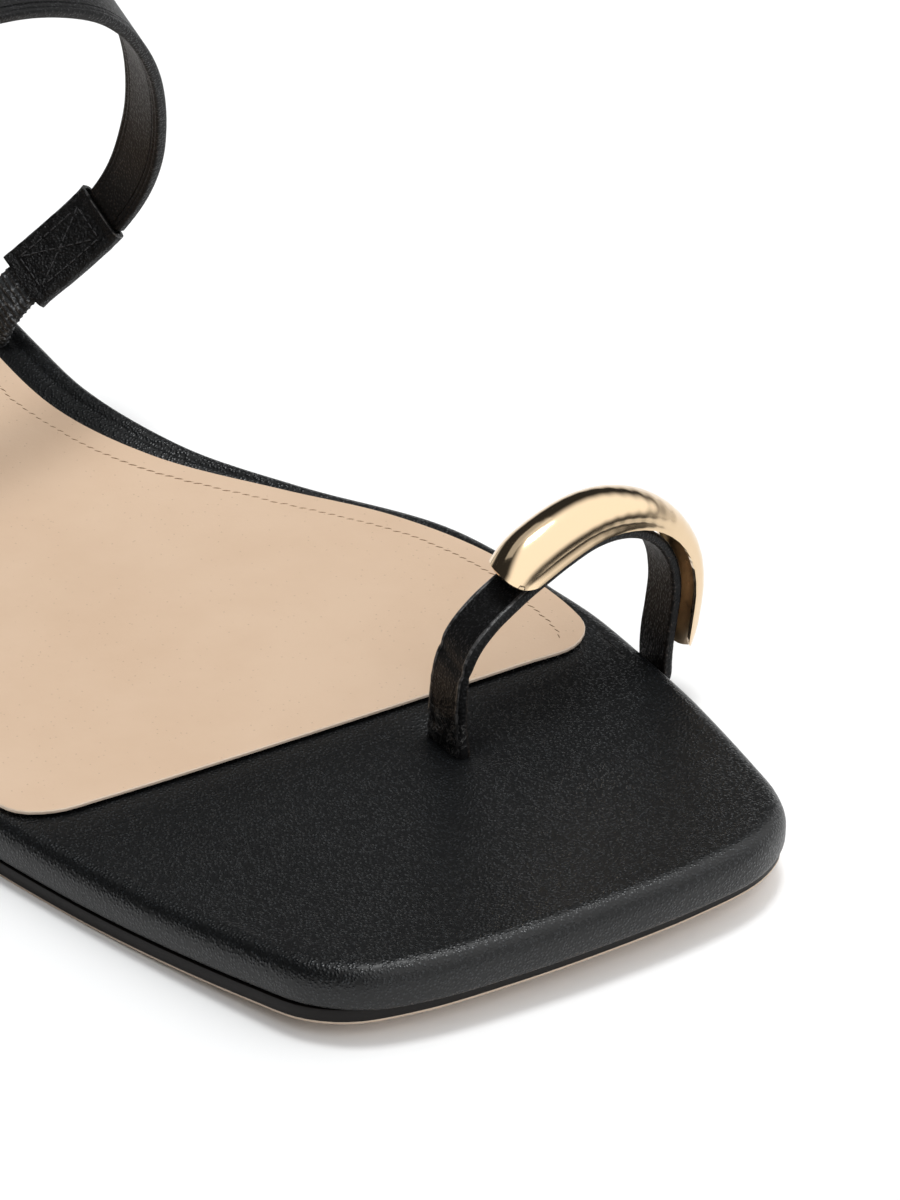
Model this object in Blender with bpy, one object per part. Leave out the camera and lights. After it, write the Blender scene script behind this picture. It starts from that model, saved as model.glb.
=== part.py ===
"""A flat leather sandal for the right foot, with a strap loop for the big toe.

Frame: metres, +Z up, the toe points to -Y and the big-toe side is +X. The origin is on the floor,
under the middle of the sandal's box. Tables and sizes below are in millimetres: "across" grows
towards the big-toe side, "back" is the distance behind the toe line, "height" is above the floor.
"""
import math

import bpy
import bmesh
import numpy as np
from mathutils.geometry import delaunay_2d_cdt

MM = 0.001
CLEARANCE = 0.3

LENGTH = 250.0
OUTLINE_SPACING = 5.5
TOE_STRAP_SPACING = 2.0
ROUTE_SPACING = 0.7
INSTEP_STATIONS = 52
ORNAMENT_STATIONS = 25
ORNAMENT_ARC_STEPS = 10
SLOT_STATIONS = 7
SLEEVE_STATIONS = 9

# Rows of points that carry the curve of a plate's flat faces
CAP_ROW_STEP = 8.0
CAP_COLUMN_STEP = 17.0
CAP_MARGIN = 4.0

BOX_MIDDLE_ACROSS = 1.44

# Sole heights
TOE_SPRING = 3.0
TOE_SPRING_END = 57.5
ARCH_START = 101.0
ARCH_END = 186.0
HEEL_HEIGHT = 6.0
HEEL_BREAST = 190.0
HEEL_BREAST_MARGIN = 2.0
HEEL_FOOT_SCALE = 0.985
HEEL_FOOT_EDGE = 0.5
OUTSOLE_THICKNESS = 2.0
FOOTBED_THICKNESS = 5.3
LINER_THICKNESS = 0.7
FOOTBED_BASE = OUTSOLE_THICKNESS + CLEARANCE
FOOTBED_TOP = FOOTBED_BASE + FOOTBED_THICKNESS
LINER_BASE = FOOTBED_TOP + CLEARANCE

# The outsole lies further under the padded edge at the toe than along the sides
RECESS_TOE = 1.4
RECESS_SIDE = 0.3

# The raised edge that supports the arch of the foot
ARCH_RAISE = 1.9
ARCH_RAISE_BACK = (99.0, 142.0, 178.0, 208.0)

# Straps
TOE_STRAP_WIDTH = 6.7
TOE_STRAP_THICKNESS = 1.3
INSTEP_STRAP_WIDTH = 8.6
INSTEP_STRAP_THICKNESS = 1.6
STRAP_END_WIDTH = 7.2
STRAP_END_THICKNESS = 0.9
STRAP_SHOULDER = 0.8
ELASTIC_WIDTH = 6.4
ELASTIC_THICKNESS = 1.3
ELASTIC_RIB = 0.2
ELASTIC_RIB_PITCH = 1.3
ELASTIC_END_THICKNESS = 0.9
SLEEVE_WALL = 0.45
SLOT_OVERRUN = 5.0
TOE_SLOT_LENGTH = 9.0
RIM_SLOT_LENGTH = 8.6
INSTEP_SLOT_LENGTH = 10.0

# Ornament, a half-round shell
ORNAMENT_WIDTH = 8.8
ORNAMENT_RISE = 4.6
ORNAMENT_FAR_RISE = 2.6
ORNAMENT_WALL = 0.7
ORNAMENT_RAKE = (2.2, 0.8)
ORNAMENT_RAKE_POWER = 0.4
ORNAMENT_RAKE_STATIONS = 4.0
ORNAMENT_FLARE = 1.1

# Outline of the padded edge, seen from above, from the middle of the toe round by the big-toe side:
# across, back
OUTLINE = (
    (-1.0, 0.7),
    (12.0, 0.0),
    (22.0, 0.9),
    (28.4, 4.5),
    (31.6, 9.3),
    (33.9, 15.5),
    (39.2, 33.5),
    (41.6, 45.5),
    (43.3, 57.0),
    (43.5, 66.0),
    (43.5, 76.0),
    (41.8, 88.0),
    (33.1, 107.5),
    (25.9, 124.0),
    (22.9, 138.5),
    (23.7, 152.0),
    (27.2, 179.0),
    (29.2, 202.0),
    (28.4, 222.0),
    (22.6, 238.4),
    (12.4, 247.0),
    (0.0, 250.0),
    (-12.4, 247.0),
    (-22.6, 238.4),
    (-28.4, 222.0),
    (-31.0, 200.5),
    (-36.6, 157.5),
    (-43.6, 116.5),
    (-46.2, 84.0),
    (-43.4, 50.5),
    (-38.2, 21.5),
    (-36.0, 13.2),
    (-31.8, 8.0),
    (-24.5, 4.6),
    (-13.0, 2.2),
)

# Width of the black border between the outline and the liner:
# back, width on the big-toe side, width on the little-toe side
BORDER = (
    (0.0, 4.6, 3.4),
    (62.0, 3.5, 2.7),
    (70.0, 2.8, 2.7),
    (84.0, 3.6, 2.7),
    (100.0, 3.7, 2.7),
    (112.0, 4.3, 3.4),
    (126.0, 5.9, 4.6),
    (145.0, 6.9, 6.2),
    (170.0, 6.3, 6.2),
    (195.0, 4.8, 4.6),
    (250.0, 4.2, 4.2),
)

# Front end of the liner, from its little-toe corner to its big-toe corner:
# across, back
LINER_FRONT = (
    (-43.3, 67.5),
    (-42.2, 62.0),
    (-38.6, 59.2),
    (-32.0, 58.0),
    (-4.0, 54.8),
    (26.0, 51.8),
    (34.2, 51.2),
    (38.2, 54.0),
    (39.9, 59.5),
)

# Middle line of the toe strap, from the slot in the footbed, over the toe, to under the padded edge:
# across, height
TOE_STRAP = (
    (8.5, 2.5),
    (8.5, 7.6),
    (8.4, 13.0),
    (9.0, 17.6),
    (10.7, 20.8),
    (13.6, 23.1),
    (17.5, 24.9),
    (21.6, 26.4),
    (26.0, 27.7),
    (30.5, 28.5),
    (34.5, 28.2),
    (38.3, 26.8),
    (41.6, 24.1),
    (43.7, 20.6),
    (44.4, 16.6),
    (43.9, 12.6),
    (43.3, 9.2),
    (43.1, 6.6),
    (43.0, 4.7),
    (42.0, 3.5),
    (40.0, 3.2),
    (36.2, 3.2),
)
TOE_STRAP_BACK = 43.7
TOE_STRAP_SKEW = 0.07
TOE_STRAP_YAW = (6.0, 11.0)
ORNAMENT_START = 0.365
ORNAMENT_END = 0.845
ORNAMENT_FLARE_SPAN = (0.55, 0.74)
ORNAMENT_FALL_SPAN = (0.4, 0.7)

# Middle line of the instep strap in its own plane, which leans forward over the instep:
# across, rise
INSTEP = (
    (19.3, -5.6),
    (19.3, -2.8),
    (19.4, 0.4),
    (20.0, 3.9),
    (22.3, 7.6),
    (27.5, 12.2),
    (32.5, 17.4),
    (35.2, 23.2),
    (35.7, 30.5),
    (34.0, 39.4),
    (30.3, 49.2),
    (25.0, 57.7),
    (18.8, 64.0),
    (11.4, 68.1),
    (3.9, 70.4),
    (-4.0, 70.9),
    (-12.0, 69.7),
    (-20.5, 66.2),
    (-28.5, 60.0),
    (-35.7, 50.5),
    (-40.2, 40.0),
    (-41.8, 30.0),
    (-40.8, 20.0),
    (-38.0, 10.5),
    (-35.0, 4.5),
    (-33.6, 0.5),
    (-33.0, -2.8),
    (-33.0, -5.6),
)
INSTEP_BACK = 157.6
INSTEP_BASE_HEIGHT = 14.5
INSTEP_LEAN = math.radians(25.0)
INSTEP_STRAP_TURN = math.radians(5.0)
SLEEVE_START = 13.5
SLEEVE_END = 27.8
STRAP_END_IN_SLEEVE = 21.5
ELASTIC_END_IN_SLEEVE = 20.5


def smoothstep(value, low, high):
    t = min(1.0, max(0.0, (value - low) / (high - low)))
    return t * t * (3.0 - 2.0 * t)


def sole_lift(back):
    """Height of the outsole's underside: toe spring, a flat ball, then the rise to the heel."""
    spring = TOE_SPRING * (max(0.0, TOE_SPRING_END - back) / TOE_SPRING_END) ** 2
    return spring + (HEEL_HEIGHT + CLEARANCE) * smoothstep(back, ARCH_START, ARCH_END)


def spline(anchors, spacing, closed=False):
    """Points on a centripetal Catmull-Rom curve through the anchors, about a spacing apart."""
    pts = [np.array(p, dtype=float) for p in anchors]
    if closed:
        pts = [pts[-1]] + pts + pts[:2]
    else:
        pts = [2 * pts[0] - pts[1]] + pts + [2 * pts[-1] - pts[-2]]
    curve = []
    for i in range(1, len(pts) - 2):
        p0, p1, p2, p3 = pts[i - 1:i + 3]
        t1 = np.linalg.norm(p1 - p0) ** 0.5
        t2 = t1 + np.linalg.norm(p2 - p1) ** 0.5
        t3 = t2 + np.linalg.norm(p3 - p2) ** 0.5
        count = max(2, round(np.linalg.norm(p2 - p1) / spacing))
        for step in range(count):
            t = t1 + (t2 - t1) * step / count
            a1 = (p0 * (t1 - t) + p1 * t) / t1
            a2 = (p1 * (t2 - t) + p2 * (t - t1)) / (t2 - t1)
            a3 = (p2 * (t3 - t) + p3 * (t - t2)) / (t3 - t2)
            b1 = (a1 * (t2 - t) + a2 * t) / t2
            b2 = (a2 * (t3 - t) + a3 * (t - t1)) / (t3 - t1)
            curve.append((b1 * (t2 - t) + b2 * (t - t1)) / (t2 - t1))
    if not closed:
        curve.append(pts[-2])
    return np.array(curve)


def inward_normals(outline):
    tangent = np.roll(outline, -1, axis=0) - np.roll(outline, 1, axis=0)
    tangent /= np.linalg.norm(tangent, axis=1)[:, None]
    return np.column_stack((-tangent[:, 1], tangent[:, 0]))


def border_width(across, back):
    rows = np.array(BORDER)
    column = 1 if across > 0 else 2
    return float(np.interp(back, rows[:, 0], rows[:, column]))


def world(across, back, height):
    return ((across - BOX_MIDDLE_ACROSS) * MM, (back - LENGTH / 2) * MM, height * MM)


def material(name, colour, roughness, metallic=0.0):
    made = bpy.data.materials.new(name)
    made.use_nodes = True
    shader = made.node_tree.nodes["Principled BSDF"]
    shader.inputs["Base Color"].default_value = (*colour, 1.0)
    shader.inputs["Roughness"].default_value = roughness
    shader.inputs["Metallic"].default_value = metallic
    return made


def finish(name, mesh_data, finish_material, sharp_degrees=40.0):
    """Turns a bmesh in world metres into a named object with outward faces."""
    bmesh.ops.recalc_face_normals(mesh_data, faces=mesh_data.faces)
    mesh = bpy.data.meshes.new(name)
    mesh_data.to_mesh(mesh)
    mesh_data.free()
    mesh.shade_smooth()
    mesh.set_sharp_from_angle(angle=math.radians(sharp_degrees))
    made = bpy.data.objects.new(name, mesh)
    bpy.context.scene.collection.objects.link(made)
    if finish_material is not None:
        mesh.materials.append(finish_material)
    return made


def cap_points(ring):
    """Points inside a ring, in rows across the sole, so that a filled face follows its curve."""
    points = []
    closed_ring = np.vstack((ring, ring[:1]))
    back = math.ceil((ring[:, 1].min() + CAP_MARGIN) / CAP_ROW_STEP) * CAP_ROW_STEP
    while back < ring[:, 1].max() - CAP_MARGIN:
        crossings = []
        for (x0, y0), (x1, y1) in zip(closed_ring[:-1, :2], closed_ring[1:, :2]):
            if (y0 - back) * (y1 - back) < 0:
                crossings.append(x0 + (x1 - x0) * (back - y0) / (y1 - y0))
        left = min(crossings) + CAP_MARGIN
        right = max(crossings) - CAP_MARGIN
        count = max(1, round((right - left) / CAP_COLUMN_STEP))
        if right > left:
            points += [(left + (right - left) * i / count, back) for i in range(count + 1)]
        back += CAP_ROW_STEP
    return points


def sole_plate(name, rings, bottom_height, top_height, finish_material):
    """A closed plate from rings that run from its underside, round its edge, to its top."""
    mesh_data = bmesh.new()
    ring_verts = [[mesh_data.verts.new(world(*p)) for p in ring] for ring in rings]
    count = len(rings[0])
    for lower, upper in zip(ring_verts[:-1], ring_verts[1:]):
        for i in range(count):
            j = (i + 1) % count
            mesh_data.faces.new((lower[i], lower[j], upper[j], upper[i]))
    caps = (
        (rings[0], ring_verts[0], bottom_height),
        (rings[-1], ring_verts[-1], top_height),
    )
    for ring, verts, height in caps:
        inner = cap_points(ring)
        flat = [tuple(p[:2]) for p in ring] + inner
        edges = [(i, (i + 1) % count) for i in range(count)]
        _, _, faces, origin, _, _ = delaunay_2d_cdt(flat, edges, [], 1, 1e-4)
        cap = verts + [mesh_data.verts.new(world(x, y, height(x, y))) for x, y in inner]
        for face in faces:
            mesh_data.faces.new([cap[origin[i][0]] for i in face])
    return finish(name, mesh_data, finish_material)


def edge_ring(outline, normals, insets, heights):
    """One ring of a plate: the outline moved inward, at a height over the floor for each point."""
    moved = outline + normals * np.array(insets)[:, None]
    return np.column_stack((moved, heights(moved)))


def lifted(height):
    return lambda pts: np.array([sole_lift(back) + height for _, back in pts])


def make_outsole(outline, normals):
    toe = np.array([max(0.0, facing) ** 3 for facing in normals[:, 1]])
    recess = RECESS_SIDE + (RECESS_TOE - RECESS_SIDE) * toe
    profile = ((0.35, 0.0), (0.0, 0.35), (0.0, OUTSOLE_THICKNESS - 0.3), (0.3, OUTSOLE_THICKNESS))
    rings = [edge_ring(outline, normals, recess + inset, lifted(height)) for inset, height in profile]
    return sole_plate(
        "outsole",
        rings,
        lambda x, y: sole_lift(y),
        lambda x, y: sole_lift(y) + OUTSOLE_THICKNESS,
        material("outsole_leather", (0.012, 0.012, 0.013), 0.5),
    )


def make_heel(outline, normals):
    """A low heel block, whose top follows the flat heel seat of the outsole."""
    edge = outline + normals * RECESS_SIDE
    behind = [p for p in edge if p[1] > HEEL_BREAST + HEEL_BREAST_MARGIN]
    breast = [np.array((behind[0][0], HEEL_BREAST)), np.array((behind[-1][0], HEEL_BREAST))]
    ring = np.array([breast[0], *behind, breast[1]])
    middle = ring.mean(axis=0)
    mesh_data = bmesh.new()
    loops = []
    for scale, height in ((HEEL_FOOT_SCALE, 0.0), (1.0, HEEL_FOOT_EDGE), (1.0, HEEL_HEIGHT)):
        placed = middle + (ring - middle) * scale
        loops.append([mesh_data.verts.new(world(across, back, height)) for across, back in placed])
    for lower, upper in zip(loops[:-1], loops[1:]):
        for i in range(len(ring)):
            j = (i + 1) % len(ring)
            mesh_data.faces.new((lower[i], lower[j], upper[j], upper[i]))
    mesh_data.faces.new(list(reversed(loops[0])))
    mesh_data.faces.new(loops[-1])
    return finish("heel", mesh_data, material("heel_leather", (0.012, 0.012, 0.013), 0.5))


def arch_raise(across, back):
    start, full, hold, end = ARCH_RAISE_BACK
    if across < 0:
        return 0.0
    return ARCH_RAISE * smoothstep(back, start, full) * (1.0 - smoothstep(back, hold, end))


def make_footbed(outline, normals):
    """The padded, leather-wrapped footbed: a round edge, and a raised edge at the arch."""
    roll = (
        (2.6, 0.0, 0.0),
        (0.6, 0.0, 0.0),
        (0.15, 0.4, 0.05),
        (0.0, 1.3, 0.25),
        (0.0, 2.6, 0.5),
        (0.2, 3.6, 0.75),
        (0.65, 4.45, 0.92),
        (1.35, 5.05, 1.0),
        (2.2, FOOTBED_THICKNESS, 0.95),
    )
    raises = np.array([arch_raise(*p) for p in outline])
    borders = np.array([border_width(*p) for p in outline])
    rings = []
    for inset, height, share in roll:
        base = lifted(FOOTBED_BASE + height)
        rings.append(edge_ring(outline, normals, np.full(len(outline), inset), base))
        rings[-1][:, 2] += raises * share
    slope_start = roll[-1][0]
    inner = np.maximum(borders - 0.4, slope_start + 0.3)
    for part, share in ((0.5, 0.48), (1.0, 0.0)):
        insets = slope_start + (inner - slope_start) * part
        rings.append(edge_ring(outline, normals, insets, lifted(FOOTBED_TOP)))
        rings[-1][:, 2] += raises * share
    return sole_plate(
        "footbed",
        rings,
        lambda x, y: sole_lift(y) + FOOTBED_BASE,
        lambda x, y: sole_lift(y) + FOOTBED_TOP,
        material("footbed_leather", (0.016, 0.016, 0.018), 0.42),
    )


def make_liner(outline, normals):
    """The thin liner that covers the footbed from the heel to the toe joints."""
    front = list(LINER_FRONT)
    rear = []
    for point, normal in zip(outline[::3], normals[::3]):
        if point[1] > LINER_FRONT[-1][1] + 6.0:
            rear.append(tuple(point + normal * border_width(*point)))
    rear = [p for p in rear if p[1] > (LINER_FRONT[0][1] if p[0] < 0 else LINER_FRONT[-1][1]) + 5.0]
    edge = spline(front + rear, OUTLINE_SPACING, closed=True)
    inward = inward_normals(edge)
    profile = ((0.25, 0.0), (0.0, 0.2), (0.0, LINER_THICKNESS - 0.2), (0.25, LINER_THICKNESS))
    rings = [
        edge_ring(edge, inward, np.full(len(edge), inset), lifted(LINER_BASE + height))
        for inset, height in profile
    ]
    return sole_plate(
        "sock_liner",
        rings,
        lambda x, y: sole_lift(y) + LINER_BASE,
        lambda x, y: sole_lift(y) + LINER_BASE + LINER_THICKNESS,
        material("liner_leather", (0.72, 0.55, 0.41), 0.55),
    )


def strap_section(width, thickness):
    """A strap's cross-section with softened corners, as (along width, along thickness)."""
    soft = min(0.35, thickness * 0.3)
    w, t = width / 2, thickness / 2
    return (
        (-w, -t + soft),
        (-w + soft, -t),
        (w - soft, -t),
        (w, -t + soft),
        (w, t - soft),
        (w - soft, t),
        (-w + soft, t),
        (-w, t - soft),
    )


def frames(path, widths):
    """Tangent, width and outward directions at each point of a path."""
    tangent = np.gradient(path, axis=0)
    tangent /= np.linalg.norm(tangent, axis=1)[:, None]
    outward = np.cross(widths, tangent)
    outward /= np.linalg.norm(outward, axis=1)[:, None]
    return tangent, outward


def arc_lengths(path):
    steps = np.linalg.norm(np.diff(path, axis=0), axis=1)
    return np.concatenate(([0.0], np.cumsum(steps)))


def resample(path, stations):
    """Points of a path, and of what is stored beside them, at the given arc lengths."""
    lengths = arc_lengths(path[:, :3])
    return np.column_stack([np.interp(stations, lengths, path[:, k]) for k in range(path.shape[1])])


def sweep(name, path, widths, section_at, finish_material, hole_at=None):
    """Carries a cross-section along a path. With hole_at it is a sleeve, open at both ends."""
    tangent, outward = frames(path, widths)
    mesh_data = bmesh.new()

    def loops_for(section_of):
        loops = []
        for i, point in enumerate(path):
            loop = []
            for along_width, along_out in section_of(i):
                place = point + widths[i] * along_width + outward[i] * along_out
                loop.append(mesh_data.verts.new(world(*place)))
            loops.append(loop)
        return loops

    def skin(loops):
        count = len(loops[0])
        for first, second in zip(loops[:-1], loops[1:]):
            for i in range(count):
                j = (i + 1) % count
                mesh_data.faces.new((first[i], first[j], second[j], second[i]))

    outer = loops_for(section_at)
    skin(outer)
    if hole_at is None:
        mesh_data.faces.new(outer[0])
        mesh_data.faces.new(outer[-1])
    else:
        inner = loops_for(hole_at)
        skin(inner)
        for end in (0, -1):
            for i in range(len(outer[0])):
                j = (i + 1) % len(outer[0])
                mesh_data.faces.new((outer[end][i], outer[end][j], inner[end][j], inner[end][i]))
    return finish(name, mesh_data, finish_material)


def toe_strap_path(spacing):
    """Middle line of the toe strap, a little skew to the sole, and its width directions to the toe."""
    flat = spline(TOE_STRAP, spacing)
    start = TOE_STRAP[0][0]
    back = TOE_STRAP_BACK + TOE_STRAP_SKEW * (flat[:, 0] - start)
    path = np.column_stack((flat[:, 0], back, flat[:, 1]))
    lengths = arc_lengths(path)
    near, far = TOE_STRAP_YAW
    yaw = np.radians([near + (far - near) * smoothstep(s / lengths[-1], 0.5, 0.8) for s in lengths])
    widths = -np.column_stack((np.sin(yaw), np.cos(yaw), np.zeros(len(yaw))))
    return np.column_stack((path, widths))


def instep_path(spacing):
    """Middle line and width directions of the instep strap, from the big-toe side over to the other."""
    flat = spline(INSTEP, spacing)
    back = INSTEP_BACK - flat[:, 1] * math.sin(INSTEP_LEAN)
    height = INSTEP_BASE_HEIGHT + flat[:, 1] * math.cos(INSTEP_LEAN)
    path = np.column_stack((flat[:, 0], back, height))
    turns = [INSTEP_LEAN + INSTEP_STRAP_TURN * smoothstep(rise, 0.0, 20.0) for rise in flat[:, 1]]
    widths = np.column_stack((np.zeros(len(turns)), np.cos(turns), np.sin(turns)))
    return np.column_stack((path, widths))


def part_of(route, stations):
    """Path and unit width directions of a route between arc-length stations."""
    rows = resample(route, stations)
    widths = rows[:, 3:]
    widths /= np.linalg.norm(widths, axis=1)[:, None]
    return rows[:, :3], widths


def make_toe_strap():
    route = toe_strap_path(TOE_STRAP_SPACING)
    widths = route[:, 3:]
    section = strap_section(TOE_STRAP_WIDTH, TOE_STRAP_THICKNESS)
    leather = material("toe_strap_leather", (0.014, 0.014, 0.015), 0.45)
    return sweep("toe_strap", route[:, :3], widths, lambda i: section, leather)


def ornament_lines():
    """Foot line, width directions and rise of the shell on the strap's outer face."""
    route = toe_strap_path(ROUTE_SPACING)
    total = arc_lengths(route[:, :3])[-1]
    share = np.linspace(ORNAMENT_START, ORNAMENT_END, ORNAMENT_STATIONS)
    path, widths = part_of(route, share * total)
    outward = frames(path, widths)[1]
    flare = np.array([ORNAMENT_FLARE * smoothstep(s, *ORNAMENT_FLARE_SPAN) for s in share])
    stand_off = TOE_STRAP_THICKNESS / 2 + CLEARANCE + flare
    fall = np.array([smoothstep(s, *ORNAMENT_FALL_SPAN) for s in share])
    rises = ORNAMENT_RISE + (ORNAMENT_FAR_RISE - ORNAMENT_RISE) * fall
    return path + outward * stand_off[:, None], widths, rises


def make_ornament():
    """A half-round metal shell. Its crown reaches further along the strap than its lips."""
    base, widths, rises = ornament_lines()
    tangent, outward = frames(base, widths)
    last = len(base) - 1
    arc = [math.pi * step / ORNAMENT_ARC_STEPS for step in range(ORNAMENT_ARC_STEPS + 1)]
    mesh_data = bmesh.new()
    loops = []
    for i, point in enumerate(base):
        near_end = i < last / 2
        end_share = max(0.0, 1.0 - min(i, last - i) / ORNAMENT_RAKE_STATIONS) ** 2
        rake = -ORNAMENT_RAKE[0] if near_end else ORNAMENT_RAKE[1]
        loop = []
        for shell, angles in ((0.0, arc), (ORNAMENT_WALL, reversed(arc))):
            half = ORNAMENT_WIDTH / 2 - shell
            for angle in angles:
                turn = max(0.0, math.sin(angle))
                place = point + widths[i] * half * math.cos(angle) + outward[i] * (rises[i] - shell) * turn
                place = place + tangent[i] * rake * end_share * turn ** ORNAMENT_RAKE_POWER
                loop.append(mesh_data.verts.new(world(*place)))
        loops.append(loop)
    count = len(loops[0])
    for first, second in zip(loops[:-1], loops[1:]):
        for i in range(count):
            j = (i + 1) % count
            mesh_data.faces.new((first[i], first[j], second[j], second[i]))
    for loop in (loops[0], loops[-1]):
        for i in range(ORNAMENT_ARC_STEPS):
            mesh_data.faces.new((loop[i], loop[i + 1], loop[count - 2 - i], loop[count - 1 - i]))
    gold = material("gold_metal", (0.83, 0.62, 0.32), 0.16, 1.0)
    return finish("toe_ornament", mesh_data, gold)


def make_instep_strap(route, total):
    """The leather strap over the instep. Its skived end sits in the sleeve on the big-toe side."""
    inside = np.array([STRAP_END_IN_SLEEVE, SLEEVE_END, SLEEVE_END + STRAP_SHOULDER / 2])
    outside = np.linspace(SLEEVE_END + STRAP_SHOULDER, total, INSTEP_STATIONS)
    path, widths = part_of(route, np.concatenate((inside, outside)))
    thin = strap_section(STRAP_END_WIDTH, STRAP_END_THICKNESS)
    full = strap_section(INSTEP_STRAP_WIDTH, INSTEP_STRAP_THICKNESS)
    leather = material("instep_strap_leather", (0.014, 0.014, 0.015), 0.45)
    return sweep("instep_strap", path, widths, lambda i: thin if i < len(inside) else full, leather)


def make_sleeve(route):
    """The folded leather sleeve that joins the strap to its elastic."""
    path, widths = part_of(route, np.linspace(SLEEVE_START, SLEEVE_END, SLEEVE_STATIONS))
    hole_width = STRAP_END_WIDTH + 2 * CLEARANCE
    hole_thickness = STRAP_END_THICKNESS + 2 * CLEARANCE
    outer = strap_section(hole_width + 2 * SLEEVE_WALL, hole_thickness + 2 * SLEEVE_WALL)
    inner = strap_section(hole_width, hole_thickness)
    leather = material("sleeve_leather", (0.013, 0.013, 0.014), 0.5)
    return sweep("strap_sleeve", path, widths, lambda i: outer, leather, lambda i: inner)


def make_elastic(route):
    """The ruched elastic between the footbed and the sleeve, ribbed across its width."""
    ribbed_end = SLEEVE_START - CLEARANCE
    count = 2 * round(ribbed_end / ELASTIC_RIB_PITCH)
    ribbed = np.linspace(0.0, ribbed_end, count + 1)
    inside = np.array([SLEEVE_START - 0.05, ELASTIC_END_IN_SLEEVE])
    path, widths = part_of(route, np.concatenate((ribbed, inside)))

    def section_at(i):
        if i >= len(ribbed):
            return strap_section(ELASTIC_WIDTH, ELASTIC_END_THICKNESS)
        rib = ELASTIC_RIB if i % 2 else -ELASTIC_RIB
        return strap_section(ELASTIC_WIDTH + rib, ELASTIC_THICKNESS + rib)

    knit = material("black_elastic", (0.012, 0.012, 0.013), 0.8)
    return sweep("instep_elastic", path, widths, section_at, knit)


def cut_slot(footbed, name, route, stations, size, overrun):
    """Cuts the footbed along a strap's own route between two stations, with clearance all round."""
    path, widths = part_of(route, np.linspace(*stations, SLOT_STATIONS))
    tangent, _ = frames(path, widths)
    path[0] -= tangent[0] * overrun[0]
    path[-1] += tangent[-1] * overrun[1]
    width, thickness = size
    section = strap_section(width + 2 * CLEARANCE, thickness + 2 * CLEARANCE)
    cutter = sweep(name, path, widths, lambda i: section, None)
    cutter.hide_render = True
    cutter.display_type = "WIRE"
    cut = footbed.modifiers.new(name, "BOOLEAN")
    cut.operation = "DIFFERENCE"
    cut.solver = "EXACT"
    cut.object = cutter


def build():
    for old in list(bpy.data.objects):
        bpy.data.objects.remove(old, do_unlink=True)

    outline = spline(OUTLINE, OUTLINE_SPACING, closed=True)
    normals = inward_normals(outline)
    make_outsole(outline, normals)
    make_heel(outline, normals)
    footbed = make_footbed(outline, normals)
    make_liner(outline, normals)
    make_toe_strap()
    make_ornament()

    instep_route = instep_path(ROUTE_SPACING)
    instep_total = arc_lengths(instep_route[:, :3])[-1]
    make_instep_strap(instep_route, instep_total)
    make_sleeve(instep_route)
    make_elastic(instep_route)

    toe_route = toe_strap_path(ROUTE_SPACING)
    toe_total = arc_lengths(toe_route[:, :3])[-1]
    toe_size = (TOE_STRAP_WIDTH, TOE_STRAP_THICKNESS)
    elastic_size = (ELASTIC_WIDTH + ELASTIC_RIB, ELASTIC_THICKNESS + ELASTIC_RIB)
    strap_size = (INSTEP_STRAP_WIDTH, INSTEP_STRAP_THICKNESS)
    toe_start = (0.0, TOE_SLOT_LENGTH)
    toe_end = (toe_total - RIM_SLOT_LENGTH, toe_total)
    instep_start = (0.0, INSTEP_SLOT_LENGTH)
    instep_end = (instep_total - INSTEP_SLOT_LENGTH, instep_total)
    cut_slot(footbed, "toe_slot", toe_route, toe_start, toe_size, (SLOT_OVERRUN, 0.0))
    cut_slot(footbed, "rim_slot", toe_route, toe_end, toe_size, (0.0, CLEARANCE))
    cut_slot(footbed, "elastic_slot", instep_route, instep_start, elastic_size, (SLOT_OVERRUN, 0.0))
    cut_slot(footbed, "strap_slot", instep_route, instep_end, strap_size, (0.0, SLOT_OVERRUN))


build()
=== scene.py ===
"""Looks of a flat leather sandal for the right foot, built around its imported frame.

Sizes in the tables are in millimetres: "across" grows towards the big-toe side, "back" is the distance
behind the toe line, "height" is above the floor. placed() turns them into the frame's metres.
"""
import math

import bmesh
import bpy
import numpy as np
from mathutils import Matrix, Vector, noise
from mathutils.geometry import delaunay_2d_cdt


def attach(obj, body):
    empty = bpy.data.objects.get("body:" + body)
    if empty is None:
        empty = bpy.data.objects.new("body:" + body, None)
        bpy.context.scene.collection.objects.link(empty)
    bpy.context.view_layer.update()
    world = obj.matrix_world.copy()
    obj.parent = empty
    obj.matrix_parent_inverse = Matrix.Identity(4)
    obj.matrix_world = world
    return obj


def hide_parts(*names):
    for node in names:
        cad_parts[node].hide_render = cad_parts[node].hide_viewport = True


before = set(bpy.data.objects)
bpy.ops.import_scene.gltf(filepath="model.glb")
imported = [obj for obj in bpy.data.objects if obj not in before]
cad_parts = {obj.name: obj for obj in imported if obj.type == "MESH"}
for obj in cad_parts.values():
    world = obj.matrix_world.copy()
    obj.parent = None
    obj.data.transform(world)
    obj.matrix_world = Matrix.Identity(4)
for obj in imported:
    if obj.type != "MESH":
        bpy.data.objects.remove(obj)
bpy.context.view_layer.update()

MM = 0.001
CLEARANCE = 0.3

# Steps along the curves, and rows of points that carry the curve of a plate's flat faces
OUTLINE_SPACING = 5.5
FINE_OUTLINE = 1.6
ROUTE_SPACING = 0.7
FINE_ROUTE = 0.5
ORNAMENT_STATIONS = 25
CAP_ROW_STEP = 2.0
CAP_COLUMN_STEP = 2.0
CAP_MARGIN = 1.2

# Size and place in the frame
LENGTH = 250.0
BOX_MIDDLE_ACROSS = 1.44

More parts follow.
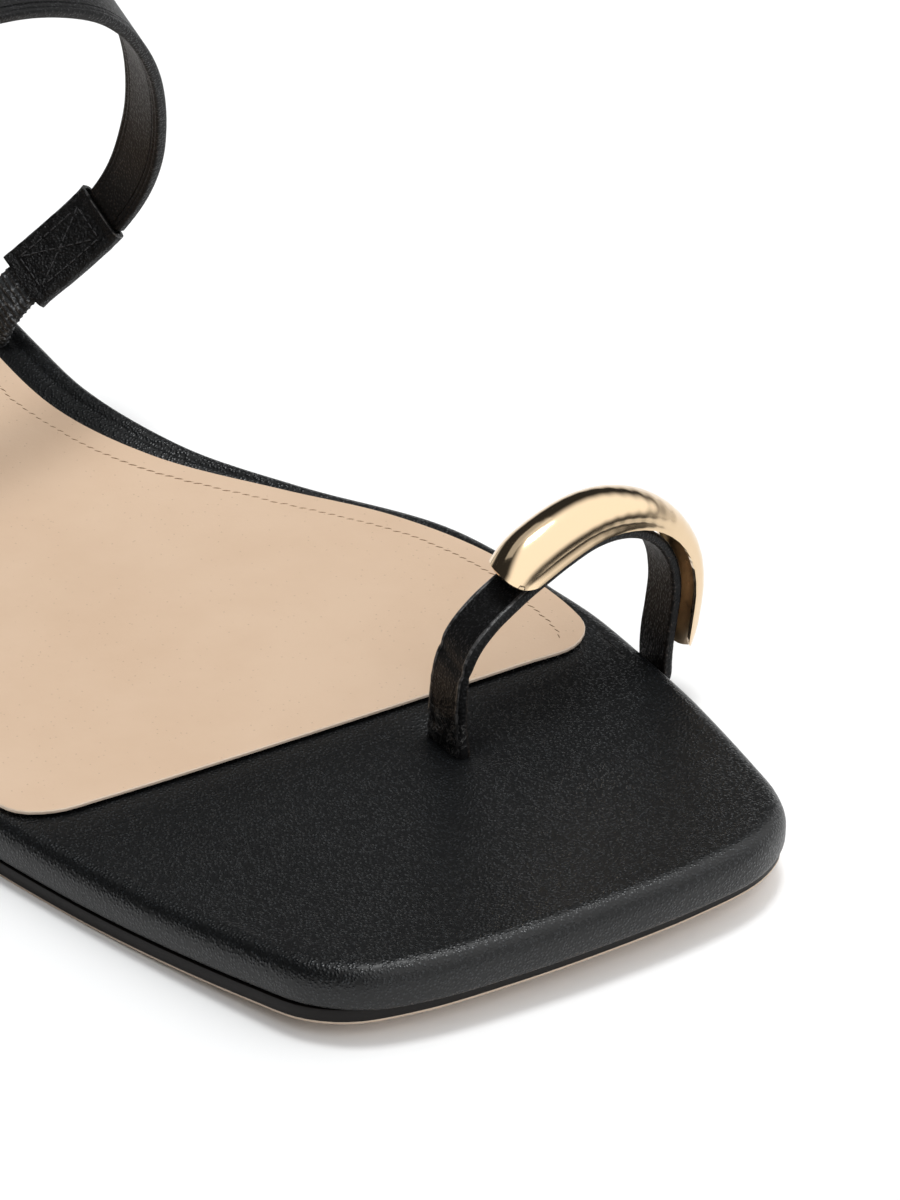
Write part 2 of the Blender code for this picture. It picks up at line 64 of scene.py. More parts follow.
# Sole heights
TOE_SPRING = 3.0
TOE_SPRING_END = 57.5
ARCH_START = 101.0
ARCH_END = 186.0
HEEL_HEIGHT = 6.0
HEEL_BREAST = 190.0
HEEL_FOOT_SCALE = 0.985
OUTSOLE_THICKNESS = 2.0
FOOTBED_THICKNESS = 5.3
LINER_THICKNESS = 0.7
FOOTBED_BASE = OUTSOLE_THICKNESS + CLEARANCE
FOOTBED_TOP = FOOTBED_BASE + FOOTBED_THICKNESS
LINER_BASE = FOOTBED_TOP + CLEARANCE

# The outsole lies further under the padded edge at the toe than along the sides
RECESS_TOE = 1.4
RECESS_SIDE = 0.3

# The raised edge that supports the arch of the foot
ARCH_RAISE = 1.9
ARCH_RAISE_BACK = (99.0, 142.0, 178.0, 208.0)

# Straps
TOE_STRAP_WIDTH = 6.7
TOE_STRAP_THICKNESS = 1.3
INSTEP_STRAP_WIDTH = 8.6
INSTEP_STRAP_THICKNESS = 1.6
STRAP_END_WIDTH = 7.2
STRAP_END_THICKNESS = 0.9
ELASTIC_WIDTH = 6.4
ELASTIC_THICKNESS = 1.3
SLEEVE_WALL = 0.45

# Ornament, a half-round shell
ORNAMENT_WIDTH = 8.8
ORNAMENT_RISE = 4.6
ORNAMENT_FAR_RISE = 2.6
ORNAMENT_WALL = 0.7
ORNAMENT_RAKE_STATIONS = 4.0
ORNAMENT_FLARE = 1.1

# Outline of the padded edge, seen from above, from the middle of the toe round by the big-toe side:
# across, back
OUTLINE = (
    (-1.0, 0.7), (12.0, 0.0), (22.0, 0.9), (28.4, 4.5), (31.6, 9.3), (33.9, 15.5), (39.2, 33.5),
    (41.6, 45.5), (43.3, 57.0), (43.5, 66.0), (43.5, 76.0), (41.8, 88.0), (33.1, 107.5),
    (25.9, 124.0), (22.9, 138.5), (23.7, 152.0), (27.2, 179.0), (29.2, 202.0), (28.4, 222.0),
    (22.6, 238.4), (12.4, 247.0), (0.0, 250.0), (-12.4, 247.0), (-22.6, 238.4), (-28.4, 222.0),
    (-31.0, 200.5), (-36.6, 157.5), (-43.6, 116.5), (-46.2, 84.0), (-43.4, 50.5), (-38.2, 21.5),
    (-36.0, 13.2), (-31.8, 8.0), (-24.5, 4.6), (-13.0, 2.2),
)

# Width of the black border between the outline and the liner:
# back, width on the big-toe side, width on the little-toe side
BORDER = (
    (0.0, 4.6, 3.4),
    (62.0, 3.5, 2.7),
    (70.0, 2.8, 2.7),
    (84.0, 3.6, 2.7),
    (100.0, 3.7, 2.7),
    (112.0, 4.3, 3.4),
    (126.0, 5.9, 4.6),
    (145.0, 6.9, 6.2),
    (170.0, 6.3, 6.2),
    (195.0, 4.8, 4.6),
    (250.0, 4.2, 4.2),
)

# Front end of the liner, from its little-toe corner to its big-toe corner:
# across, back
LINER_FRONT = (
    (-43.3, 67.5),
    (-42.2, 62.0),
    (-38.6, 59.2),
    (-32.0, 58.0),
    (-4.0, 54.8),
    (26.0, 51.8),
    (34.2, 51.2),
    (38.2, 54.0),
    (39.9, 59.5),
)

# Middle line of the toe strap, from the slot in the footbed, over the toe, to under the padded edge:
# across, height
TOE_STRAP = (
    (8.5, 2.5), (8.5, 7.6), (8.4, 13.0), (9.0, 17.6), (10.7, 20.8), (13.6, 23.1), (17.5, 24.9),
    (21.6, 26.4), (26.0, 27.7), (30.5, 28.5), (34.5, 28.2), (38.3, 26.8), (41.6, 24.1),
    (43.7, 20.6), (44.4, 16.6), (43.9, 12.6), (43.3, 9.2), (43.1, 6.6), (43.0, 4.7),
    (42.0, 3.5), (40.0, 3.2), (36.2, 3.2),
)
TOE_STRAP_BACK = 43.7
TOE_STRAP_SKEW = 0.07
TOE_STRAP_YAW = (6.0, 11.0)
TOE_STRAP_YAW_SPAN = (0.5, 0.8)
ORNAMENT_START = 0.365
ORNAMENT_END = 0.845
ORNAMENT_FLARE_SPAN = (0.55, 0.74)
ORNAMENT_FALL_SPAN = (0.4, 0.7)

# Middle line of the instep strap in its own plane, which leans forward over the instep:
# across, rise
INSTEP = (
    (19.3, -5.6), (19.3, -2.8), (19.4, 0.4), (20.0, 3.9), (22.3, 7.6), (27.5, 12.2),
    (32.5, 17.4), (35.2, 23.2), (35.7, 30.5), (34.0, 39.4), (30.3, 49.2), (25.0, 57.7),
    (18.8, 64.0), (11.4, 68.1), (3.9, 70.4), (-4.0, 70.9), (-12.0, 69.7), (-20.5, 66.2),
    (-28.5, 60.0), (-35.7, 50.5), (-40.2, 40.0), (-41.8, 30.0), (-40.8, 20.0), (-38.0, 10.5),
    (-35.0, 4.5), (-33.6, 0.5), (-33.0, -2.8), (-33.0, -5.6),
)
INSTEP_BACK = 157.6
INSTEP_BASE_HEIGHT = 14.5
INSTEP_LEAN = math.radians(25.0)
INSTEP_STRAP_TURN = math.radians(5.0)
INSTEP_TURN_RISE = 20.0
SLEEVE_START = 13.5
SLEEVE_END = 27.8


def smoothstep(value, low, high):
    """Grows smoothly from 0 to 1 while the value goes from low to high."""
    t = min(1.0, max(0.0, (value - low) / (high - low)))
    return t * t * (3.0 - 2.0 * t)


def sole_lift(back):
    """Height of the outsole's underside: toe spring, a flat ball, then the rise to the heel."""
    spring = TOE_SPRING * (max(0.0, TOE_SPRING_END - back) / TOE_SPRING_END) ** 2
    return spring + (HEEL_HEIGHT + CLEARANCE) * smoothstep(back, ARCH_START, ARCH_END)


def spline(anchors, spacing, closed=False):
    """Points on a centripetal Catmull-Rom curve through the anchors, about a spacing apart."""
    pts = [np.array(p, dtype=float) for p in anchors]
    if closed:
        pts = [pts[-1]] + pts + pts[:2]
    else:
        pts = [2 * pts[0] - pts[1]] + pts + [2 * pts[-1] - pts[-2]]
    curve = []
    for i in range(1, len(pts) - 2):
        p0, p1, p2, p3 = pts[i - 1:i + 3]
        t1 = np.linalg.norm(p1 - p0) ** 0.5
        t2 = t1 + np.linalg.norm(p2 - p1) ** 0.5
        t3 = t2 + np.linalg.norm(p3 - p2) ** 0.5
        count = max(2, round(np.linalg.norm(p2 - p1) / spacing))
        for step in range(count):
            t = t1 + (t2 - t1) * step / count
            a1 = (p0 * (t1 - t) + p1 * t) / t1
            a2 = (p1 * (t2 - t) + p2 * (t - t1)) / (t2 - t1)
            a3 = (p2 * (t3 - t) + p3 * (t - t2)) / (t3 - t2)
            b1 = (a1 * (t2 - t) + a2 * t) / t2
            b2 = (a2 * (t3 - t) + a3 * (t - t1)) / (t3 - t1)
            curve.append((b1 * (t2 - t) + b2 * (t - t1)) / (t2 - t1))
    if not closed:
        curve.append(pts[-2])
    return np.array(curve)


def unit(rows):
    """Directions with a length of 1."""
    return rows / np.linalg.norm(rows, axis=1)[:, None]


def inward_normals(outline):
    """Unit directions from a closed outline, seen from above, to its inside."""
    tangent = unit(np.roll(outline, -1, axis=0) - np.roll(outline, 1, axis=0))
    return np.column_stack((-tangent[:, 1], tangent[:, 0]))


def border_width(across, back):
    """Width of the black border beside the liner."""
    rows = np.array(BORDER)
    column = 1 if across > 0 else 2
    return float(np.interp(back, rows[:, 0], rows[:, column]))


def cap_points(ring):
    """Points inside a ring, in rows across the sole, so that a filled face follows its curve."""
    points = []
    closed_ring = np.vstack((ring, ring[:1]))
    back = math.ceil((ring[:, 1].min() + CAP_MARGIN) / CAP_ROW_STEP) * CAP_ROW_STEP
    while back < ring[:, 1].max() - CAP_MARGIN:
        crossings = []
        for (x0, y0), (x1, y1) in zip(closed_ring[:-1, :2], closed_ring[1:, :2]):
            if (y0 - back) * (y1 - back) < 0:
                crossings.append(x0 + (x1 - x0) * (back - y0) / (y1 - y0))
        left = min(crossings) + CAP_MARGIN
        right = max(crossings) - CAP_MARGIN
        count = max(1, round((right - left) / CAP_COLUMN_STEP))
        if right > left:
            points += [(left + (right - left) * i / count, back) for i in range(count + 1)]
        back += CAP_ROW_STEP
    return points


def edge_ring(outline, normals, insets, heights):
    """One ring of a plate: the outline moved inward, at a height over the floor for each point."""
    moved = outline + normals * np.array(insets)[:, None]
    return np.column_stack((moved, heights(moved)))


def lifted(height):
    """A function that gives points a height over the outsole's underside."""
    return lambda pts: np.array([sole_lift(back) + height for _, back in pts])


def arch_shares(outline, stretch):
    """Shares, 0 to 1 and back to 0, of a feature along the big-toe side: start, full, hold and end."""
    start, full, hold, end = stretch
    return np.array([
        smoothstep(back, start, full) * (1.0 - smoothstep(back, hold, end)) * (across >= 0)
        for across, back in outline
    ])


def frames(path, widths):
    """Tangent and outward directions at each point of a path with the given width directions."""
    tangent = unit(np.gradient(path, axis=0))
    return tangent, unit(np.cross(widths, tangent))


def arc_lengths(path):
    """Distance along a path of each of its points."""
    steps = np.linalg.norm(np.diff(path, axis=0), axis=1)
    return np.concatenate(([0.0], np.cumsum(steps)))


def resample(path, stations):
    """Points of a path, and of what is stored beside them, at the given arc lengths."""
    lengths = arc_lengths(path[:, :3])
    return np.column_stack([np.interp(stations, lengths, path[:, k]) for k in range(path.shape[1])])


def toe_strap_path(spacing):
    """Middle line of the toe strap, a little skew to the sole, and its width directions to the toe."""
    flat = spline(TOE_STRAP, spacing)
    start = TOE_STRAP[0][0]
    back = TOE_STRAP_BACK + TOE_STRAP_SKEW * (flat[:, 0] - start)
    path = np.column_stack((flat[:, 0], back, flat[:, 1]))
    lengths = arc_lengths(path)
    near, far = TOE_STRAP_YAW
    turned = [smoothstep(s / lengths[-1], *TOE_STRAP_YAW_SPAN) for s in lengths]
    yaw = np.radians([near + (far - near) * share for share in turned])
    widths = -np.column_stack((np.sin(yaw), np.cos(yaw), np.zeros(len(yaw))))
    return np.column_stack((path, widths))


def instep_path(spacing):
    """Middle line and width directions of the instep strap, from the big-toe side over to the other."""
    flat = spline(INSTEP, spacing)
    back = INSTEP_BACK - flat[:, 1] * math.sin(INSTEP_LEAN)
    height = INSTEP_BASE_HEIGHT + flat[:, 1] * math.cos(INSTEP_LEAN)
    path = np.column_stack((flat[:, 0], back, height))
    turned = [smoothstep(rise, 0.0, INSTEP_TURN_RISE) for rise in flat[:, 1]]
    turns = [INSTEP_LEAN + INSTEP_STRAP_TURN * share for share in turned]
    widths = np.column_stack((np.zeros(len(turns)), np.cos(turns), np.sin(turns)))
    return np.column_stack((path, widths))


def part_of(route, stations):
    """Path and unit width directions of a route between arc-length stations."""
    rows = resample(route, stations)
    return rows[:, :3], unit(rows[:, 3:])


def ornament_lines():
    """Foot line, width directions and rise of the shell on the strap's outer face."""
    route = toe_strap_path(ROUTE_SPACING)
    total = arc_lengths(route[:, :3])[-1]
    share = np.linspace(ORNAMENT_START, ORNAMENT_END, ORNAMENT_STATIONS)
    path, widths = part_of(route, share * total)
    outward = frames(path, widths)[1]
    flare = np.array([ORNAMENT_FLARE * smoothstep(s, *ORNAMENT_FLARE_SPAN) for s in share])
    stand_off = TOE_STRAP_THICKNESS / 2 + CLEARANCE + flare
    fall = np.array([smoothstep(s, *ORNAMENT_FALL_SPAN) for s in share])
    rises = ORNAMENT_RISE + (ORNAMENT_FAR_RISE - ORNAMENT_RISE) * fall
    return path + outward * stand_off[:, None], widths, rises


def placed(across, back, height):
    """A point of the tables in the frame's metres."""
    return ((across - BOX_MIDDLE_ACROSS) * MM, (back - LENGTH / 2) * MM, height * MM)


def wave(point, size, seed=0.0):
    """Smooth noise from -1 to 1 whose bumps are about the given size in millimetres."""
    x, y, z = point
    return noise.noise(Vector((x / size + seed, y / size - seed, z / size)))


def near_segment(point, start, end):
    """Distance in plan from a point to a segment."""
    p, a, b = (np.array(v[:2], dtype=float) for v in (point, start, end))
    t = np.clip(np.dot(p - a, b - a) / np.dot(b - a, b - a), 0.0, 1.0)
    return float(np.linalg.norm(p - a - t * (b - a)))


# Materials

# Leathers: dark tone, light tone, size of the grain, its depth, roughness, depth of crumples, gloss
LEATHERS = {
    "footbed_black": ((0.0058, 0.0068, 0.0078), (0.0084, 0.0096, 0.0108), 0.38, 0.05, 0.29, 0.0, 0.42),
    "toe_strap_black": ((0.006, 0.006, 0.0065), (0.009, 0.009, 0.0095), 0.38, 0.06, 0.36, 0.06, 0.2),
    "strap_lining": ((0.012, 0.009, 0.0075), (0.022, 0.016, 0.012), 0.4, 0.07, 0.45, 0.14, 0.3),
    "instep_strap_black": ((0.006, 0.006, 0.0065), (0.01, 0.01, 0.011), 0.38, 0.05, 0.38, 0.0, 0.2),
    "instep_lining": ((0.0075, 0.0056, 0.0045), (0.012, 0.009, 0.0072), 0.38, 0.05, 0.42, 0.0, 0.2),
    "sleeve_black": ((0.0045, 0.0045, 0.005), (0.009, 0.009, 0.0095), 0.38, 0.07, 0.34, 0.24, 0.2),
}
GRAIN_WARP = 0.22
PORE_SHARE = 0.12
# Painted grain light: colour factors for the painted shade between the pebbles and the painted glint on
# their tops
GRAIN_SHADE_AND_GLINT_TONES = ((0.3, 0.3, 0.3), (3.2, 3.2, 3.2))

# Small crumpled marks in the footbed's leather: place, turn in degrees, half sizes
FOOTBED_MARKS = (
    ((38.9, 50.6, 7.6), 78.0, (2.6, 0.35, 3.0)),
    ((38.3, 47.6, 7.6), 84.0, (2.0, 0.3, 3.0)),
    ((39.6, 52.4, 7.5), 70.0, (1.2, 0.3, 3.0)),
)
MARK_DEPTH = 1.1
MARK_WIGGLE = 0.8
MARK_WIGGLE_SCALE = 1.6


def principled(name, colour, roughness, metallic=0.0, coat=0.0, coat_roughness=0.2, specular=0.5):
    """A new material with its node tree and its shader."""
    made = bpy.data.materials.new(name)
    made.use_nodes = True
    shader = made.node_tree.nodes["Principled BSDF"]
    shader.inputs["Base Color"].default_value = (*colour, 1.0)
    shader.inputs["Roughness"].default_value = roughness
    shader.inputs["Metallic"].default_value = metallic
    shader.inputs["Coat Weight"].default_value = coat
    shader.inputs["Coat Roughness"].default_value = coat_roughness
    shader.inputs["Specular IOR Level"].default_value = specular
    return made, made.node_tree, shader


def put(tree, socket, value):
    """Sets an input socket, or links it where the value is another node's output."""
    if isinstance(value, bpy.types.NodeSocket):
        tree.links.new(value, socket)
    else:
        socket.default_value = value


def fill(tree, node, **values):
    """Sets or links input sockets of a node by their names."""
    for name, value in values.items():
        put(tree, node.inputs[name.replace("_", " ")], value)
    return node


def add(tree, kind, **values):
    """A new node with some of its input sockets set or linked."""
    return fill(tree, tree.nodes.new(kind), **values)


def maths(tree, operation, *terms, kind="ShaderNodeMath", output="Value"):
    """The result of a math node."""
    node = tree.nodes.new(kind)
    node.operation = operation
    for socket, term in zip(node.inputs, terms):
        put(tree, socket, term)
    return node.outputs[output]


def vector_maths(tree, operation, *terms, output="Vector"):
    """The result of a vector math node."""
    return maths(tree, operation, *terms, kind="ShaderNodeVectorMath", output=output)


def coordinates(tree, scale=(1.0, 1.0, 1.0)):
    """Places on the piece, in the frame's metres times a scale."""
    source = tree.nodes.new("ShaderNodeTexCoord")
    mapping = add(tree, "ShaderNodeMapping", Vector=source.outputs["Object"], Scale=scale)
    return mapping.outputs["Vector"]


def clouds(tree, where, size, detail=2.0, roughness=0.5, distortion=0.0, output="Fac"):
    """Noise whose bumps are about a size in millimetres."""
    node = add(tree, "ShaderNodeTexNoise", Vector=where, Scale=1.0 / MM / size, Detail=detail)
    fill(tree, node, Roughness=roughness, Distortion=distortion)
    return node.outputs[output]


def cells(tree, where, size):
    """Random cells of about a size in millimetres: their outputs Distance and Color."""
    return add(tree, "ShaderNodeTexVoronoi", Vector=where, Scale=1.0 / MM / size).outputs


def blend(tree, factor, low, high, way="MIX"):
    """A colour that runs from low to high as the factor grows. Both are colours or outputs."""
    mix = tree.nodes.new("ShaderNodeMix")
    mix.data_type = "RGBA"
    mix.blend_type = way
    for name, colour in (("A", low), ("B", high)):
        put(tree, mix.inputs[name], (*colour, 1.0) if isinstance(colour, tuple) else colour)
    put(tree, mix.inputs["Factor"], factor)
    return mix.outputs["Result"]


def span(tree, value, given, wanted=(0.0, 1.0), smooth=False):
    """A value mapped from the given range to the wanted one."""
    ranged = tree.nodes.new("ShaderNodeMapRange")
    ranged.interpolation_type = "SMOOTHSTEP" if smooth else "LINEAR"
    fill(tree, ranged, From_Min=given[0], From_Max=given[1], To_Min=wanted[0], To_Max=wanted[1])
    tree.links.new(value, ranged.inputs["Value"])
    return ranged.outputs["Result"]


def bump(tree, height, depth, before=None, strength=1.0):
    """A surface with bumps of a depth in millimetres, on top of the bumps before."""
    node = add(tree, "ShaderNodeBump", Height=height, Strength=strength, Distance=depth * MM)
    if before is not None:
        tree.links.new(before, node.inputs["Normal"])
    return node.outputs["Normal"]


def pressed_mark(tree, where, place, turn, size):
    """Height of a small crumpled mark: 1 far from it, falling to 0 in its wavy middle line."""
    local = add(tree, "ShaderNodeMapping", Vector=where, Location=placed(*place))
    local.vector_type = "TEXTURE"
    half_sizes = tuple(length * MM for length in size)
    inside = fill(tree, local, Rotation=(0.0, 0.0, math.radians(turn)), Scale=half_sizes).outputs["Vector"]
    wiggle = add(tree, "ShaderNodeTexNoise", Vector=inside, Scale=MARK_WIGGLE_SCALE, Detail=3.0)
    fill(tree, wiggle, Roughness=0.65)
    swing, middle = (2 * MARK_WIGGLE, 2 * MARK_WIGGLE, 0.0), (-MARK_WIGGLE, -MARK_WIGGLE, 0.0)
    shift = vector_maths(tree, "MULTIPLY_ADD", wiggle.outputs["Color"], swing, middle)
    bent = vector_maths(tree, "ADD", inside, shift)
    far = vector_maths(tree, "LENGTH", bent, output="Value")
    return span(tree, far, (0.25, 1.0), smooth=True)


def grained_leather(name, marks=()):
    """A leather of the table: pebbled grain with painted glints on the pebble tops and painted shade between
    them, pores, crumples and slow changes of tone.
    """
    dark, light, grain, depth, roughness, crumple, specular = LEATHERS[name]
    made, tree, shader = principled(name, dark, roughness, specular=specular)
    where = coordinates(tree)
    warp = clouds(tree, where, size=grain * 3.0, output="Color")
    bent = vector_maths(tree, "MULTIPLY_ADD", warp, (grain * GRAIN_WARP * MM,) * 3, where)
    pebbles = cells(tree, bent, size=grain)
    edge = pebbles["Distance"]
    tops = span(tree, edge, (0.12, 0.46), (1.0, 0.0), smooth=True)
    chance = add(tree, "ShaderNodeSeparateColor", Color=pebbles["Color"]).outputs["Red"]
    glint_share = maths(tree, "MULTIPLY", tops, span(tree, chance, (0.1, 1.0), (0.15, 1.0)))
    normal = bump(tree, span(tree, edge, (0.1, 0.62), (1.0, 0.0)), depth)
    pores = clouds(tree, where, size=grain * 0.5, detail=2.0, roughness=0.55)
    normal = bump(tree, pores, depth * PORE_SHARE, normal)
    if crumple > 0.0:
        folds = clouds(tree, where, size=1.1, detail=3.0, roughness=0.65, distortion=1.6)
        normal = bump(tree, folds, crumple, normal)
    for mark in marks:
        normal = bump(tree, pressed_mark(tree, where, *mark), MARK_DEPTH, normal)
    tone = clouds(tree, where, size=22.0, detail=3.0, roughness=0.55)
    body = blend(tree, span(tree, tone, (0.35, 0.68)), dark, light)
    # Painted glints lighten the pebble tops and painted shade darkens the valleys between them
    colour = blend(tree, 1.0, body, blend(tree, glint_share, *GRAIN_SHADE_AND_GLINT_TONES), "MULTIPLY")
    polish = span(tree, edge, (0.1, 0.6), (roughness - 0.1, roughness + 0.12))
    fill(tree, shader, Base_Color=colour, Roughness=polish, Normal=normal)
    return made


def painted_highlight_leather():
    """Black leather with greyer, smoother patches over fine cracks: the grey patches are a painted highlight
    on raised edges.
    """
    made, tree, shader = principled("painted_highlight_black", (0.03, 0.03, 0.03), 0.32, specular=0.55)
    cracks_and_highlight = clouds(tree, coordinates(tree), size=0.7, detail=4.0, roughness=0.7)
    # Grey patches painted as a highlight
    colour = blend(tree, span(tree, cracks_and_highlight, (0.42, 0.6)), (0.008, 0.008, 0.008), (0.09, 0.088, 0.088))
    fill(tree, shader, Base_Color=colour, Normal=bump(tree, cracks_and_highlight, depth=0.12))
    return made


def creased_leather():
    """Black leather bunched where a strap goes into the sole: thin light crease lines on dark folds."""
    made, tree, shader = principled("creased_black", (0.008, 0.008, 0.008), 0.34, specular=0.35)
    folds = clouds(tree, coordinates(tree), size=1.5, detail=3.0, roughness=0.6, distortion=0.8)
    from_middle = maths(tree, "ABSOLUTE", maths(tree, "SUBTRACT", folds, 0.5))
    line = span(tree, from_middle, (0.004, 0.03), (1.0, 0.0), smooth=True)
    colour = blend(tree, line, (0.0045, 0.0045, 0.0048), (0.11, 0.108, 0.105))
    normal = bump(tree, line, depth=0.06, before=bump(tree, folds, depth=0.5))
    fill(tree, shader, Base_Color=colour, Normal=normal)
    return made


def liner_leather():
    """Smooth beige leather: faint blotches, tiny dark pores and a soft matt surface."""
    base, warm, pore = (0.655, 0.472, 0.33), (0.69, 0.508, 0.363), (0.55, 0.40, 0.28)
    made, tree, shader = principled("beige_lining", base, 0.58, specular=0.35)
    where = coordinates(tree)
    blotch = clouds(tree, where, size=18.0, detail=4.0, roughness=0.6)
    off_pores = span(tree, cells(tree, where, size=1.15)["Distance"], (0.05, 0.13))
    skin = clouds(tree, where, size=0.55, detail=4.0, roughness=0.65)
    colour = blend(tree, off_pores, pore, blend(tree, span(tree, blotch, (0.35, 0.65)), base, warm))
    normal = bump(tree, off_pores, depth=0.03, before=bump(tree, skin, depth=0.02))
    fill(tree, shader, Base_Color=colour, Normal=normal)
    return made


def cut_edge_leather(name, colour):
    """The raw cut edge of leather, with fibres along it."""
    made, tree, shader = principled(name, colour, 0.6)
    fibres = clouds(tree, coordinates(tree, (0.35, 0.35, 2.2)), size=0.5, detail=4.0, roughness=0.7)
    deep = tuple(c * 0.7 for c in colour)
    fill(tree, shader, Base_Color=blend(tree, fibres, deep, colour), Normal=bump(tree, fibres, depth=0.05))
    return made


def painted_edge():
    """Black edge paint: smooth, a little glossy, with slow ripples."""
    made, tree, shader = principled(
        "painted_edge", (0.006, 0.0045, 0.0038), 0.42, coat=0.1, coat_roughness=0.25, specular=0.16
    )
    ripples = clouds(tree, coordinates(tree), size=1.3, detail=3.0, roughness=0.6)
    fill(tree, shader, Normal=bump(tree, ripples, depth=0.05))
    return made


def gold_metal():
    """Polished pale gold with very slight waves from polishing."""
    made, tree, shader = principled("polished_gold", (0.8, 0.61, 0.4), 0.1, metallic=1.0)
    waves = clouds(tree, coordinates(tree), size=9.0, detail=1.0)
    fill(tree, shader, Roughness=span(tree, waves, (0.3, 0.7), (0.09, 0.14)))
    fill(tree, shader, Normal=bump(tree, waves, depth=0.07, strength=0.5))
    return made


def painted_shade_gold():
    """Dull metal of the shell's hidden inside, darker with dark spots: painted shade for the hollow under
    the shell.
    """
    made, tree, shader = principled("painted_shade_gold", (0.42, 0.29, 0.16), 0.34, metallic=1.0)
    spots = clouds(tree, coordinates(tree), size=1.4, detail=4.0, roughness=0.65)
    fill(tree, shader, Base_Color=blend(tree, spots, (0.2, 0.13, 0.07), (0.5, 0.34, 0.18)))
    fill(tree, shader, Roughness=span(tree, spots, (0.3, 0.7), (0.26, 0.42)))
    fill(tree, shader, Normal=bump(tree, spots, depth=0.08, strength=0.8))
    return made


def elastic_knit():
    """Black elastic: ribs across the band come from the mesh, threads and light grey specks from here."""
    made, tree, shader = principled("elastic_knit", (0.02, 0.021, 0.022), 0.78)
    where = coordinates(tree)
    specks = clouds(tree, where, size=0.6, detail=4.0, roughness=0.75)
    colour = blend(tree, span(tree, specks, (0.53, 0.64)), (0.01, 0.011, 0.012), (0.2, 0.21, 0.22))
    threads = cells(tree, where, size=0.32)["Distance"]
    fill(tree, shader, Base_Color=colour, Normal=bump(tree, threads, depth=0.09))
    return made


def thread_material(name, colour):
    """Twisted sewing thread."""
    made, tree, shader = principled(name, colour, 0.6)
    where = coordinates(tree, (1.0, 1.0, 1.4))
    twist = add(tree, "ShaderNodeTexWave", Vector=where, Scale=1.0 / MM / 0.9, Distortion=1.0)
    fill(tree, shader, Normal=bump(tree, twist.outputs["Fac"], depth=0.04))
    return made


# Mesh making


def linked(name, data):
    """A new object in the scene."""
    made = bpy.data.objects.new(name, data)
    bpy.context.scene.collection.objects.link(made)
    return made


def finished(name, mesh_data, materials, nodes=(), sharp=35.0):
    """Turns a bmesh into a piece that rides on the sandal and stands for its CAD nodes."""
    bmesh.ops.recalc_face_normals(mesh_data, faces=mesh_data.faces)
    mesh = bpy.data.meshes.new(name)
    mesh_data.to_mesh(mesh)
    mesh_data.free()
    mesh.shade_smooth()
    mesh.set_sharp_from_angle(angle=math.radians(sharp))
    made = linked(name, mesh)
    for entry in materials:
        mesh.materials.append(entry)
    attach(made, "root")
    if nodes:
        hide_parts(*nodes)
    return made


def add_skin(mesh_data, loops, paint=lambda row, column: 0, ends=False):
    """Joins neighbouring closed loops of points with faces, and can close both ends."""
    rows = [[mesh_data.verts.new(placed(*p)) for p in loop] for loop in loops]
    count = len(rows[0])
    for row, (first, second) in enumerate(zip(rows[:-1], rows[1:])):
        for i in range(count):
            j = (i + 1) % count
            face = mesh_data.faces.new((first[i], first[j], second[j], second[i]))
            face.material_index = paint(row, i)
    if ends:
        mesh_data.faces.new(rows[0])
        mesh_data.faces.new(rows[-1])
    return rows


def add_cap(mesh_data, ring, verts, height, index=0):
    """Fills a ring with a face net whose inner points follow a height function."""
    inner = cap_points(ring)
    count = len(verts)
    flat = [tuple(p[:2]) for p in ring] + inner
    edges = [(i, (i + 1) % count) for i in range(count)]
    _, _, faces, origin, _, _ = delaunay_2d_cdt(flat, edges, [], 1, 1e-4)
    cap = verts + [mesh_data.verts.new(placed(x, y, height(x, y))) for x, y in inner]
    for face in faces:
        mesh_data.faces.new([cap[origin[i][0]] for i in face]).material_index = index


def add_plate(mesh_data, rings, base, top, paint=lambda row, i: 0, under=0):
    """A closed plate: its rings, an underside at a height over the sole's, and a top from a function."""
    rows = add_skin(mesh_data, rings, paint)
    add_cap(mesh_data, rings[0], rows[0], lambda x, y: sole_lift(y) + base, under)
    add_cap(mesh_data, rings[-1], rows[-1], top)


def fine_outline():
    """The padded edge's outline in fine steps, and its directions inward."""
    outline = spline(OUTLINE, FINE_OUTLINE, closed=True)
    return outline, inward_normals(outline)


def toe_shares(normals):
    """How much each point of the outline faces the toe, from 0 to 1."""
    return np.array([max(0.0, facing) ** 3 for facing in normals[:, 1]])


# Sole

# Edge of the outsole: inset, height
OUTSOLE_EDGE = (
    (0.06, 0.0),
    (0.02, 0.06),
    (0.0, 0.3),
    (0.05, 0.42),
    (0.0, 1.0),
    (0.0, OUTSOLE_THICKNESS - 0.35),
    (0.08, OUTSOLE_THICKNESS - 0.1),
    (0.3, OUTSOLE_THICKNESS),
)
OUTSOLE_BARE_ROWS = 2

# Heel: its foot's rounding as scale and height, and the seams between its layers
HEEL_FOOT = ((HEEL_FOOT_SCALE, 0.0), (0.997, 0.25), (1.0, 0.5))
HEEL_SEAMS = (2.0, 4.0)
HEEL_SEAM_HALF = 0.15
HEEL_SEAM_SCALE = 0.995
HEEL_BREAST_STEP = 0.8

# Edge roll of the footbed: inset, height over its base, share of the raised edge
ROLL = (
    (2.6, 0.0, 0.0),
    (1.2, 0.0, 0.0),
    (0.5, 0.0, 0.0),
    (0.15, 0.4, 0.05),
    (0.0, 1.3, 0.25),
    (0.0, 2.6, 0.5),
    (0.2, 3.6, 0.75),
    (0.65, 4.45, 0.92),
    (1.35, 5.05, 1.0),
    (2.2, 5.3, 0.95),
)
ROLL_SPACING = 0.35

